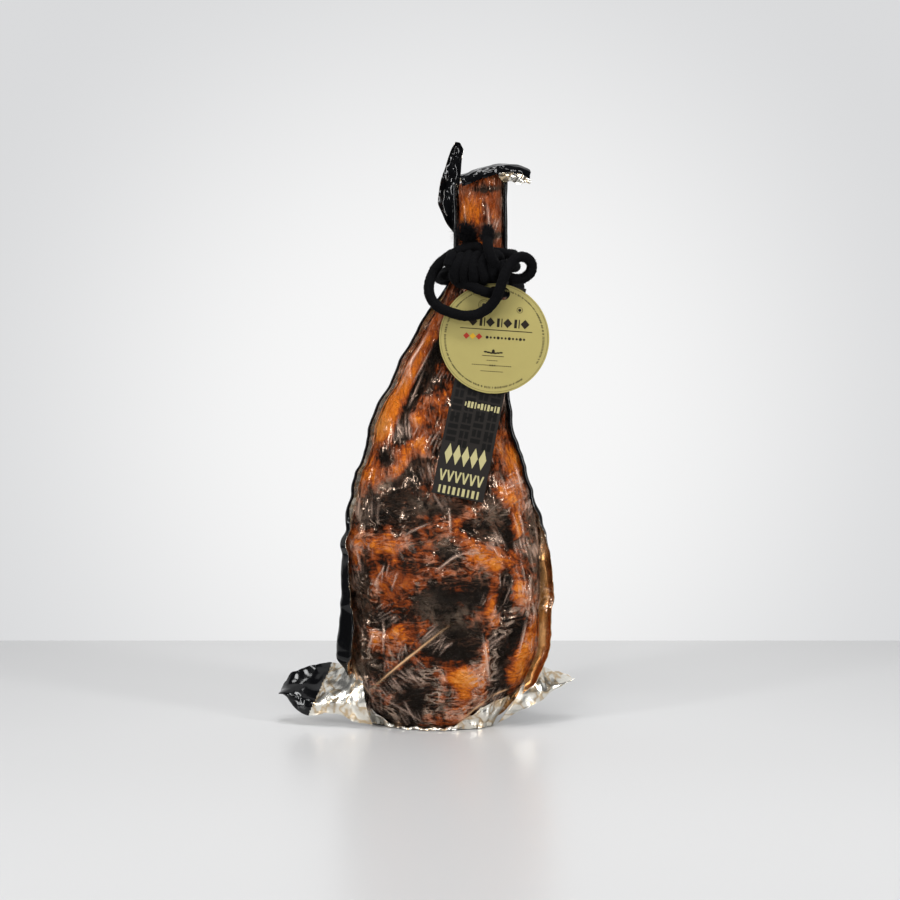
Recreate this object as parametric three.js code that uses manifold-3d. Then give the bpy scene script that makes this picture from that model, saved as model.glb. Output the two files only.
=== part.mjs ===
// A bone-in cured ham in a vacuum pouch, standing on its butt end.
// The pouch is a clear front film sealed to a black, metallised back sheet. A velvet cord is wound round
// the shank and tied in a bow, and carries a round card and a long strip card on its lowest turn.
// Millimetres, +Z up, the front faces -Y. The origin is under the middle of the object's box.
import * as THREE from "three";
import { mergeVertices } from "three/addons/utils/BufferGeometryUtils.js";
import Module from "manifold-3d";

const wasm = await Module();
wasm.setup();

// ---------------------------------------------------------------- driving dimensions
// The ham from its butt end up: height, left side, right side, half depth.
const HAM_STATIONS = [
  [0, -44, 66, 37],
  [10, -62, 82, 47],
  [28, -78, 101, 56],
  [56, -85, 121, 62],
  [90, -85, 133, 65.5],
  [135, -86, 138, 66.5],
  [180, -86, 138, 65],
  [223, -83, 131, 61],
  [263, -74, 117, 56],
  [303, -62, 104, 50],
  [340, -47, 95, 45],
  [380, -28, 93, 39],
  [420, -8, 93, 34],
  [452, 7, 93, 30.5],
  [484, 22, 92, 27],
  [512, 36, 90, 24],
  [545, 38, 89, 22],
  [580, 38, 88, 21],
  [618, 37, 88, 21],
];
const SECTION_POWER = 2.25; // 2 is an ellipse, more is squarer
const SHANK_CUT_SLOPE = 0.3; // the sawn end rises towards the right
const AROUND = 32; // facets round the ham

const SHEET_GAP = 0.5; // between the ham and the sheets that are drawn onto it
const FILM_THICK = 0.4;
const BACK_THICK = 0.5;
const LIFT = BACK_THICK + 0.4; // the ham's butt end above the floor, on the back sheet
const SEAM_RIGHT = 1; // the facets where the two sheets part from the ham
const SEAM_LEFT = 15;
const SEAL_STEP = 1.7; // how far the seal stands off the ham before it turns
const SEAL_FOLD = THREE.MathUtils.degToRad(32); // the seal's lean to the front

const CORD_RADIUS = 6;
const CORD_SIDES = 8;
const TAG_RADIUS = 61;
const TAG_THICK = 1.2;
const TAG_CENTRE = new THREE.Vector3(78, -45.5, 441);
const TAG_LEAN = THREE.MathUtils.degToRad(4);
const TAG_TURN = THREE.MathUtils.degToRad(-4);
const SLOT = { x: 83, z: 491, width: 25, height: 14.5 };
const STRIP = { width: 58, length: 241, thick: 0.6, tilt: THREE.MathUtils.degToRad(11.5) };

// ---------------------------------------------------------------- small tools
const v3 = (x, y, z) => new THREE.Vector3(x, y, z);

// The stations as one smooth line through their four numbers.
function hamAt(height) {
  const last = HAM_STATIONS.length - 1;
  let i = HAM_STATIONS.findIndex((s, n) => n < last && height <= HAM_STATIONS[n + 1][0]);
  if (i < 0) i = last - 1;
  const t = (height - HAM_STATIONS[i][0]) / (HAM_STATIONS[i + 1][0] - HAM_STATIONS[i][0]);
  const slope = (n, k) => {
    const a = HAM_STATIONS[Math.max(n - 1, 0)];
    const b = HAM_STATIONS[Math.min(n + 1, last)];
    return ((b[k] - a[k]) / (b[0] - a[0])) * (HAM_STATIONS[i + 1][0] - HAM_STATIONS[i][0]);
  };
  const [left, right, depth] = [1, 2, 3].map((k) => {
    const [p, q, m, n] = [HAM_STATIONS[i][k], HAM_STATIONS[i + 1][k], slope(i, k), slope(i + 1, k)];
    return (2 * t ** 3 - 3 * t ** 2 + 1) * p + (t ** 3 - 2 * t ** 2 + t) * m
      + (3 * t ** 2 - 2 * t ** 3) * q + (t ** 3 - t ** 2) * n;
  });
  return { middle: (left + right) / 2, halfWidth: (right - left) / 2, halfDepth: depth };
}

// A point on the ham's side, moved out by stand. facet 0 is the right side, a quarter turn on is the front.
function onHam(height, facet, stand) {
  const { middle, halfWidth, halfDepth } = hamAt(height);
  const turn = (facet / AROUND) * 2 * Math.PI;
  const round = (c) => Math.sign(c) * Math.abs(c) ** (2 / SECTION_POWER);
  const x = middle + (halfWidth + stand) * round(Math.cos(turn));
  const y = -(halfDepth + stand) * round(Math.sin(turn));
  const nearTop = THREE.MathUtils.smoothstep(height, 545, 618);
  return v3(x, y, LIFT + height + nearTop * SHANK_CUT_SLOPE * (x - middle));
}

function geometryOf(points, triangles) {
  const g = new THREE.BufferGeometry();
  g.setAttribute("position", new THREE.Float32BufferAttribute(points.flatMap((p) => p.toArray()), 3));
  g.setIndex(triangles);
  return g;
}

// A closed solid from rings of equally many points, from the bottom ring up, with flat ends.
function loft(rings) {
  const n = rings[0].length;
  const points = rings.flat();
  const triangles = [];
  for (let r = 0; r + 1 < rings.length; r++)
    for (let i = 0; i < n; i++) {
      const [a, b] = [r * n + i, r * n + ((i + 1) % n)];
      triangles.push(a, a + n, b, b, a + n, b + n);
    }
  for (const [ring, up] of [[0, false], [rings.length - 1, true]]) {
    const centre = points.length;
    points.push(rings[ring].reduce((s, p) => s.add(p), v3(0, 0, 0)).divideScalar(n));
    for (let i = 0; i < n; i++) {
      const [a, b] = [ring * n + i, ring * n + ((i + 1) % n)];
      triangles.push(centre, ...(up ? [b, a] : [a, b]));
    }
  }
  return geometryOf(points, triangles);
}

// A closed thin solid on both sides of a grid of points.
function sheet(grid, thick) {
  const [rows, cols] = [grid.length, grid[0].length];
  const at = (r, c) => grid[THREE.MathUtils.clamp(r, 0, rows - 1)][THREE.MathUtils.clamp(c, 0, cols - 1)];
  const side = (sign) => grid.flatMap((row, r) => row.map((p, c) => {
    const along = at(r, c + 1).clone().sub(at(r, c - 1));
    const across = at(r + 1, c).clone().sub(at(r - 1, c));
    return p.clone().addScaledVector(along.cross(across).normalize(), (sign * thick) / 2);
  }));
  const points = [...side(1), ...side(-1)];
  const under = rows * cols;
  const triangles = [];
  const quad = (a, b, c, d) => triangles.push(a, b, c, a, c, d);
  for (let r = 0; r + 1 < rows; r++)
    for (let c = 0; c + 1 < cols; c++) {
      const a = r * cols + c;
      quad(a, a + 1, a + cols + 1, a + cols);
      quad(under + a, under + a + cols, under + a + cols + 1, under + a + 1);
    }
  for (let c = 0; c + 1 < cols; c++) {
    const top = (rows - 1) * cols + c;
    quad(c, under + c, under + c + 1, c + 1);
    quad(top, top + 1, under + top + 1, under + top);
  }
  for (let r = 0; r + 1 < rows; r++) {
    const left = r * cols;
    const right = left + cols - 1;
    quad(left, left + cols, under + left + cols, under + left);
    quad(right, under + right, under + right + cols, right + cols);
  }
  return geometryOf(points, triangles);
}

// Booleans, from three.js geometry to a manifold solid and back.
function solid(geometry) {
  const bare = geometry.index ? geometry.toNonIndexed() : geometry.clone();
  bare.deleteAttribute("normal");
  bare.deleteAttribute("uv");
  const merged = mergeVertices(bare, 1e-3);
  return new wasm.Manifold(new wasm.Mesh({
    numProp: 3,
    vertProperties: merged.attributes.position.array,
    triVerts: new Uint32Array(merged.index.array),
  }));
}

function geometryFrom(made) {
  const mesh = made.getMesh();
  const g = new THREE.BufferGeometry();
  g.setAttribute("position", new THREE.Float32BufferAttribute(mesh.vertProperties, 3));
  g.setIndex(new THREE.Uint32BufferAttribute(mesh.triVerts, 1));
  return g;
}

const join = (geometries) => geometryFrom(geometries.map(solid).reduce((a, b) => a.add(b)));

function roundedSlot(width, height) {
  const slot = new THREE.Path();
  const [half, r] = [width / 2 - height / 2, height / 2];
  slot.absarc(half, 0, r, -Math.PI / 2, Math.PI / 2);
  slot.absarc(-half, 0, r, Math.PI / 2, (3 * Math.PI) / 2);
  return slot;
}

// ---------------------------------------------------------------- the ham
const HAM_HEIGHTS = [0, 4, 10, 19, 28, 42, 56, 75, 95, 120, 148, 176, 202, 228, 254, 279, 303, 327, 352,
  378, 404, 430, 455, 477, 496, 514, 534, 562, 590, 618];

function ham() {
  const rings = HAM_HEIGHTS.map((h) => Array.from({ length: AROUND }, (_, i) => onHam(h, i, 0)));
  return loft(rings);
}

// ---------------------------------------------------------------- the pouch
// The seal's width up the pouch: wide along the sides, gathered under the cord, and wider again above it.
const sealWidth = (height) => 3 + 13 * THREE.MathUtils.smoothstep(height, 20, 90)
  - 14.5 * THREE.MathUtils.smoothstep(height, 400, 490) + 6 * THREE.MathUtils.smoothstep(height, 545, 590);

// The seal from the ham outwards. outward is -1 on the left and 1 on the right.
// inFront is 1 for the film's side of the seal and -1 for the back sheet's.
function sealPoints(height, facet, outward, inFront, stand) {
  const foot = onHam(height, facet, stand);
  const lean = v3(outward * Math.cos(SEAL_FOLD), -Math.sin(SEAL_FOLD), 0);
  const across = v3(-outward * Math.sin(SEAL_FOLD), -Math.cos(SEAL_FOLD), 0);
  const start = foot.clone().add(v3(outward * SEAL_STEP, 0, 0)).addScaledVector(across, inFront * 0.6);
  return [0, 0.5, 1].map((t) => start.clone().addScaledVector(lean, t * sealWidth(height)));
}

// One half of the pouch with its share of both seals, as a grid from the foot up.
function pouchHalf(first, last, firstSide, inFront, stand) {
  const inset = 0.12; // in facets: keeps the two halves apart where they part from the ham
  return HAM_HEIGHTS.map((height) => {
    const row = [...sealPoints(height, first + inset, firstSide, inFront, stand)].reverse();
    row.push(onHam(height, first + inset, stand));
    for (let f = first + 1; f < last; f++) row.push(onHam(height, f, stand));
    row.push(onHam(height, last - inset, stand));
    row.push(...sealPoints(height, last - inset, -firstSide, inFront, stand));
    return row;
  });
}

function frontFilm() {
  const grid = pouchHalf(SEAM_RIGHT, SEAM_LEFT, 1, 1, SHEET_GAP + FILM_THICK / 2);
  return sheet(grid, FILM_THICK);
}

// The folded foot of the pouch, flat under the ham.
function footPlate() {
  const outline = new THREE.Shape();
  outline.moveTo(-88, 6);
  outline.bezierCurveTo(-92, -22, -62, -52, 2, -56);
  outline.bezierCurveTo(62, -58, 96, -40, 112, -12);
  outline.bezierCurveTo(118, 16, 84, 46, 44, 54);
  outline.bezierCurveTo(-6, 60, -78, 46, -88, 6);
  return new THREE.ExtrudeGeometry(outline, { depth: BACK_THICK, bevelEnabled: false, curveSegments: 7 });
}

// A flap of loose sheet between two lines of points, which bulges by bulge.
function flap(low, high, bulge, cols = 5) {
  return low.map((a, r) => Array.from({ length: cols }, (_, c) => {
    const t = c / (cols - 1);
    return a.clone().lerp(high[r], t).add(bulge.clone().multiplyScalar(Math.sin(Math.PI * t)));
  }));
}

// The loose corners of the pouch: two on the floor and two at the shank.
function leftFootCorner() {
  const low = [v3(-79, -20, 0.4), v3(-100, -30, 0.4), v3(-124, -34, 0.4), v3(-146, -26, 0.5), v3(-164, -8, 4)];
  const high = [v3(-92, 4, 62), v3(-104, 8, 57), v3(-122, 10, 50), v3(-146, 12, 40), v3(-165, 8, 22)];
  return flap(low, high, v3(-4, -6, 2));
}

function rightFootCorner() {
  const low = [v3(88, -26, 0.4), v3(112, -26, 0.4), v3(132, -14, 0.4), v3(150, 2, 0.8), v3(164, 14, 10)];
  const high = [v3(126, 8, 60), v3(133, 14, 50), v3(142, 18, 38), v3(154, 20, 28), v3(165, 18, 17)];
  return flap(low, high, v3(4, -4, 2));
}

function leftEar() {
  const inner = [v3(36.4, -1, 552), v3(36, -3, 572), v3(35, -4, 594), v3(35.6, -4, 616), v3(38, -2, 655)];
  const outer = [v3(34, 0, 552), v3(20, -9, 572), v3(16, -10, 594), v3(22, -6, 622), v3(35, -1, 656)];
  return flap(outer, inner, v3(0, 5, 0), 4);
}

function rightEar() {
  const rim = [20, 22, 24, 26, 28].map((facet) => onHam(618.1, facet, SHEET_GAP + BACK_THICK / 2));
  const front = [v3(41, -20, 614), v3(50, -22.5, 618), v3(61, -23.5, 622.5), v3(73, -23.5, 627), v3(88, -22, 630)];
  return flap([...rim, v3(117, 8, 625)], [...front, v3(116, -12, 618)], v3(0, 0, 6), 5);
}

function backSheet() {
  const grid = pouchHalf(SEAM_LEFT, SEAM_RIGHT + AROUND, -1, -1, SHEET_GAP + BACK_THICK / 2);
  for (const point of grid[0]) point.z = BACK_THICK / 2;
  const foot = footPlate();
  const corners = [leftFootCorner(), rightFootCorner(), leftEar(), rightEar()];
  return join([sheet(grid, BACK_THICK), foot, ...corners.map((corner) => sheet(corner, BACK_THICK))]);
}

// ---------------------------------------------------------------- the cord
// Its route in one piece: a cut end, nearly three turns round the shank, the lowest of them through the cards'
// slots, the arc of the knot, the left loop, the right loop, and the other cut end.
const TURNS = { middle: [63.5, 0], from: 74, to: 74 + 360 * 1.8, top: 533, pitch: 13.2, out: [36.6, 32], widen: [0.17, 0.04] };

function turnsRoundTheShank() {
  const points = [];
  for (let angle = TURNS.from; angle <= TURNS.to; angle += 24) {
    const a = THREE.MathUtils.degToRad(angle);
    const dropped = (TURNS.pitch * (angle - TURNS.from)) / 360;
    const [wide, deep] = TURNS.out.map((r, i) => r + dropped * TURNS.widen[i]);
    points.push(v3(TURNS.middle[0] + wide * Math.sin(a), -deep * Math.cos(a), TURNS.top - dropped));
  }
  return points;
}

const FIRST_END = [[47, -38, 560], [50, -39, 549], [60, -38, 541], [78, -32, 536]];
const THROUGH_THE_CARDS = [[37, -37, 505], [50, -48.6, 500], [62, -53.5, 495], [73, -50, 491.5], [83, -41, 491],
  [92, -30, 492.5], [103, -15, 495], [107, 3, 497], [98, 25, 498], [76, 37, 499], [48, 37, 501],
  [26, 26, 503], [17, 4, 506]];
const KNOT = [[21, -21, 509], [36, -38, 511], [52, -47, 514], [66, -48.5, 521], [69, -47.5, 532],
  [60, -46, 541], [46, -45, 540], [31, -43, 533]];
const LEFT_LOOP = [[17, -41, 523], [8, -43, 508], [6, -48, 492], [13, -52, 479], [29, -54.5, 470.5],
  [49, -55.5, 466.5], [66, -56, 471.5], [78, -57, 483], [84, -59, 497], [89, -59, 511]];
const RIGHT_LOOP = [[97, -54, 526], [108, -48, 534], [119, -43, 530], [123, -40, 520], [117, -39, 511],
  [104, -41, 508], [92, -44.5, 512]];
const LAST_END = [[82, -52, 520], [75, -60, 529], [71, -58, 542], [70, -50, 552], [71, -42, 561]];

function cordRoute() {
  const hand = (list) => list.map((p) => v3(...p));
  return [...hand(FIRST_END), ...turnsRoundTheShank(), ...hand(THROUGH_THE_CARDS), ...hand(KNOT),
    ...hand(LEFT_LOOP), ...hand(RIGHT_LOOP), ...hand(LAST_END)];
}

// The tube in overlapping stretches, joined, so that the knot is one clean solid.
function cord() {
  const route = cordRoute();
  const section = new THREE.Shape();
  section.absarc(0, 0, CORD_RADIUS, 0, 2 * Math.PI);
  const stretch = 7;
  const tubes = [];
  for (let i = 0; i < route.length - 1; i += stretch) {
    const points = route.slice(Math.max(i - 1, 0), i + stretch + 1);
    if (points.length < 3) continue;
    const path = new THREE.CatmullRomCurve3(points, false, "centripetal");
    const steps = Math.max(4, Math.round(path.getLength() / (1.9 * CORD_RADIUS)));
    tubes.push(new THREE.ExtrudeGeometry(section, { steps, extrudePath: path, curveSegments: CORD_SIDES / 2 }));
  }
  return join(tubes);
}

// ---------------------------------------------------------------- the cards
function roundCard() {
  const disc = new THREE.Shape();
  disc.absarc(0, 0, TAG_RADIUS, 0, 2 * Math.PI);
  const slot = roundedSlot(SLOT.width, SLOT.height);
  const offset = new THREE.Vector2(SLOT.x - TAG_CENTRE.x, SLOT.z - TAG_CENTRE.z)
    .rotateAround(new THREE.Vector2(), -TAG_TURN);
  disc.holes.push(new THREE.Path(slot.getPoints(6).map((p) => p.add(offset))));
  const card = new THREE.ExtrudeGeometry(disc, { depth: TAG_THICK, bevelEnabled: false, curveSegments: 48 });
  card.translate(0, 0, -TAG_THICK / 2);
  return card;
}

// The strip hangs from its slot down over the ham's front, and bends with it.
const STRIP_TOP = 10.5; // card above the slot's middle
const STRIP_BEND = [[0, -39.9], [55, -41], [110, -43.2], [165, -49], [200, -54.5], [232, -60.5]];

function stripDepth(down) {
  const bend = new THREE.SplineCurve(STRIP_BEND.map((p) => new THREE.Vector2(...p)));
  return bend.getPoint(THREE.MathUtils.clamp(down / STRIP_BEND.at(-1)[0], 0, 1)).y;
}

function stripCard() {
  const rows = 13;
  const grid = Array.from({ length: rows }, (_, r) => {
    const down = -STRIP_TOP + (STRIP.length * r) / (rows - 1);
    return [-1, -1 / 3, 1 / 3, 1].map((side) => {
      const across = (side * STRIP.width) / 2;
      const x = SLOT.x - down * Math.sin(STRIP.tilt) + across * Math.cos(STRIP.tilt);
      const z = SLOT.z - down * Math.cos(STRIP.tilt) - across * Math.sin(STRIP.tilt);
      return v3(x, stripDepth(down), z);
    });
  });
  const hole = new THREE.Shape(roundedSlot(SLOT.width, SLOT.height).getPoints(6));
  const punch = new THREE.ExtrudeGeometry(hole, { depth: 20, bevelEnabled: false });
  punch.rotateX(Math.PI / 2);
  punch.translate(SLOT.x, -30, SLOT.z);
  return geometryFrom(solid(sheet(grid.reverse(), STRIP.thick)).subtract(solid(punch)));
}

// ---------------------------------------------------------------- the object
const finish = (color, roughness, metalness = 0) =>
  new THREE.MeshStandardMaterial({ color, roughness, metalness });

const group = new THREE.Group();

function add(name, geometry, material) {
  const mesh = new THREE.Mesh(geometry, material);
  mesh.name = name;
  group.add(mesh);
  return mesh;
}

add("ham", ham(), finish(0x7a3512, 0.45));
add("pouch_front_film", frontFilm(), finish(0xe8dcc8, 0.08));
add("pouch_back_sheet", backSheet(), finish(0x111113, 0.18));
add("velvet_cord", cord(), finish(0x0b0b0c, 0.95));

const tag = add("round_card", roundCard(), finish(0xd8ca86, 0.6));
tag.rotation.set(Math.PI / 2 - TAG_LEAN, 0, 0);
tag.rotateZ(TAG_TURN);
tag.position.copy(TAG_CENTRE);

add("strip_card", stripCard(), finish(0x2a2624, 0.6));

export default group;
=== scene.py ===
"""A bone-in cured ham in its vacuum pouch, with a velvet cord and two cards at the neck.

The ham is a lumpy, mottled solid. The pouch is a clear, creased film in front and a black laminate behind,
metallised inside, which shows at its seals and at its crumpled corners. Lengths are metres, +Z is up and the
film side faces -Y.
"""
import math
import random

import bpy
import numpy as np
from mathutils import Euler, Matrix, Vector, noise
from mathutils.bvhtree import BVHTree


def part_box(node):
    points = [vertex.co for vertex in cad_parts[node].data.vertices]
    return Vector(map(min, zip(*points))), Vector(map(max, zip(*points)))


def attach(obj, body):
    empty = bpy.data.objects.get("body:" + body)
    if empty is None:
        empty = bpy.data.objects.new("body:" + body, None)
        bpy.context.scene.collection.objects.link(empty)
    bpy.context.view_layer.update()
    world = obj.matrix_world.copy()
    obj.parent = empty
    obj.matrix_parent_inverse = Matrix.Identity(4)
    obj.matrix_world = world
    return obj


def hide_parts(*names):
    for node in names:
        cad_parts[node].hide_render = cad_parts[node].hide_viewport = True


bl_info = {
    "name": "Cured ham in a pouch",
    "version": (1, 0, 0),
    "blender": (4, 5, 0),
    "location": "3D View > Sidebar > Ham",
    "description": "Builds a bone-in cured ham in a vacuum pouch, with its cord and cards",
    "category": "Add Mesh",
}

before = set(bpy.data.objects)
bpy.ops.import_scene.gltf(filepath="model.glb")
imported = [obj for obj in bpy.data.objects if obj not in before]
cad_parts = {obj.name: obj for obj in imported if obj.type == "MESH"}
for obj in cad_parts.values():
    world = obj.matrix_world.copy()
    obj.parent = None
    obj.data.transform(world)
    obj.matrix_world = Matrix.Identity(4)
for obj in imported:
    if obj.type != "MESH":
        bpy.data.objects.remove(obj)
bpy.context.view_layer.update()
HAM_LOW, HAM_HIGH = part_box("ham")
MM = 0.001


# ---------------------------------------------------------------- settings
def colour_setting(name, description, value):
    return bpy.props.FloatVectorProperty(name=name, description=description, subtype="COLOR", size=3,
                                         min=0, max=1, default=value)


def length_setting(name, description, value, low, high):
    return bpy.props.FloatProperty(name=name, description=description, subtype="DISTANCE", unit="LENGTH",
                                   default=value, min=low, max=high)


def count_setting(name, description, value):
    return bpy.props.IntProperty(name=name, description=description, default=value, min=0)


class HamMeatSettings(bpy.types.PropertyGroup):
    """The ham's surface."""

    amber: colour_setting("Amber", "Colour of clear fat and rind", (0.72, 0.185, 0.010))
    mahogany: colour_setting("Mahogany", "Colour of cured lean meat", (0.185, 0.036, 0.007))
    crust: colour_setting("Crust", "Colour of the dried dark crust", (0.005, 0.003, 0.002))
    mould_and_reflection: colour_setting("Mould", "Colour of the dry grey bloom", (0.24, 0.18, 0.14))
    grain: length_setting("Grain", "Size of the facets of the ham's mesh", 0.0024, 0.0015, 0.01)


class HamPouchSettings(bpy.types.PropertyGroup):
    """The clear film and the laminate."""

    gap: length_setting("Gap", "Room between the ham and a sheet drawn onto it", 0.0006, 0.0002, 0.004)
    thickness: length_setting("Thickness", "Thickness of a sheet", 0.0003, 0.0001, 0.002)
    creases: count_setting("Creases", "How many bunches of sharp creases the film has", 170)
    laminate: colour_setting("Laminate", "Colour of the laminate's outer face", (0.003, 0.003, 0.0035))
    metallised: colour_setting("Metallised", "Colour of the inner face's folds", (0.50, 0.31, 0.10))
    seed: count_setting("Seed", "Chooses where the creases fall", 7)


class HamCordSettings(bpy.types.PropertyGroup):
    """The velvet cord."""

    diameter: length_setting("Diameter", "Diameter over the pile", 0.012, 0.004, 0.03)
    colour: colour_setting("Colour", "Colour of the pile", (0.0022, 0.0022, 0.0025))
    pile: count_setting("Pile", "How many fibres stand out of the cord", 15000)


class HamCardSettings(bpy.types.PropertyGroup):
    """The two cards."""

    cream: colour_setting("Cream", "Colour of the round card", (0.415, 0.352, 0.122))
    charcoal: colour_setting("Charcoal", "Colour of the strip card", (0.016, 0.013, 0.011))
    gold: colour_setting("Gold", "Colour of the strip card's ornament", (0.50, 0.45, 0.22))


class HamStageSettings(bpy.types.PropertyGroup):
    """Camera, lights and floor."""

    distance: length_setting("Distance", "From the camera to the ham", 2.5, 1, 6)
    elevation: bpy.props.FloatProperty(
        name="Elevation", description="Angle of the camera above the horizon", subtype="ANGLE",
        unit="ROTATION", default=math.radians(6), min=0, max=1.5)


def settings(name):
    return getattr(bpy.context.scene, "ham_" + name)


# ---------------------------------------------------------------- modelling helpers
def deselect():
    if bpy.context.object and bpy.context.object.mode != "OBJECT":
        bpy.ops.object.mode_set(mode="OBJECT")
    bpy.ops.object.select_all(action="DESELECT")


def make_active(piece):
    deselect()
    piece.select_set(True)
    bpy.context.view_layer.objects.active = piece


def modify(piece, kind, **values):
    """Adds a modifier, sets it and applies it."""
    make_active(piece)
    modifier = piece.modifiers.new(kind.title(), kind)
    for key, value in values.items():
        setattr(modifier, key, value)
    bpy.ops.object.modifier_apply(modifier=modifier.name)


def points_of(piece):
    co = np.empty(len(piece.data.vertices) * 3)
    piece.data.vertices.foreach_get("co", co)
    return co.reshape(-1, 3)


def normals_of(piece):
    vectors = np.empty(len(piece.data.vertices) * 3)
    piece.data.vertex_normals.foreach_get("vector", vectors)
    return vectors.reshape(-1, 3)


def move_points(piece, points):
    piece.data.vertices.foreach_set("co", np.ascontiguousarray(points, dtype=np.float64).ravel())
    piece.data.update()


def add_attribute(piece, name, values):
    """A number for each vertex, which a material can read."""
    layer = piece.data.attributes.new(name, "FLOAT", "POINT")
    layer.data.foreach_set("value", values.astype(np.float32).ravel())


def smooth(piece, angle):
    make_active(piece)
    bpy.ops.object.shade_smooth_by_angle(angle=math.radians(angle))


def grid_piece(name, grid):
    """A sheet whose rows and columns of vertices lie at grid[row][column]. It faces column x row."""
    rows, columns = grid.shape[:2]
    deselect()
    bpy.ops.mesh.primitive_grid_add(x_subdivisions=columns - 1, y_subdivisions=rows - 1, size=1)
    piece = bpy.context.object
    piece.name = piece.data.name = name
    move_points(piece, grid.reshape(-1, 3))
    return piece


def thicken(piece, thickness, back_material=False):
    """Gives a sheet its thickness. Its back can take the piece's second material."""
    modify(piece, "SOLIDIFY", thickness=thickness, offset=0, use_even_offset=False,
           material_offset=1 if back_material else 0, material_offset_rim=1 if back_material else 0)


def hand_over(piece, slot, *nodes, smooth_angle=180):
    """A finished piece rides with the ham and stands for these nodes of the part, which are hidden. Its slot is
    not used.
    """
    smooth(piece, smooth_angle)
    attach(piece, "root")
    if nodes:
        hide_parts(*nodes)
    deselect()


def smoothstep(low, high, x):
    t = np.clip((np.asarray(x, float) - low) / np.maximum(high - low, 1e-9), 0, 1)
    return t * t * (3 - 2 * t)


def band(low, high, x, edge=0.02):
    """1 between low and high, falling to 0 over edge outside them."""
    return smoothstep(low - edge, low, x) * (1 - smoothstep(high, high + edge, x))


def noise_at(points, size, seed=0.0, octaves=3):
    """Soft noise from -1 to 1 at each point, with lumps of about this size."""
    flat = np.asarray(points, float).reshape(-1, 3) / size + seed
    values = [noise.fractal(Vector(p), 0.9, 2.1, octaves) for p in flat]
    return np.array(values).reshape(np.shape(points)[:-1])


def wander(values, size, seed):
    """A smooth random line along values."""
    line = [noise.noise(Vector((v / size, seed, 0.3))) for v in np.ravel(values)]
    return np.array(line).reshape(np.shape(values))


def any_way(draw):
    """A random vector, as likely to point one way as another."""
    return Vector([draw.gauss(0, 1) for _ in range(3)])


def spot(x, z, cx, cz, across, along, tilt):
    """A soft oval spot round (cx, cz), with its long side tilted from upright, in degrees."""
    turn = math.radians(tilt)
    dx, dz = x - cx * MM, z - cz * MM
    side = dx * math.cos(turn) - dz * math.sin(turn)
    length = dx * math.sin(turn) + dz * math.cos(turn)
    return np.exp(-((side / (across * MM)) ** 2 + (length / (along * MM)) ** 2))


# ---------------------------------------------------------------- materials
class Value:
    """A value in a material, which can be added to, taken away from and multiplied."""

    def __init__(self, nodes, socket):
        self.nodes, self.socket = nodes, socket

    def __add__(self, other):
        return self.nodes.math("ADD", self, other)

    def __mul__(self, other):
        return self.nodes.math("MULTIPLY", self, other)

    def __sub__(self, other):
        return self.nodes.math("SUBTRACT", self, other)

    def __rsub__(self, other):
        return self.nodes.math("SUBTRACT", other, self)


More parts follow.
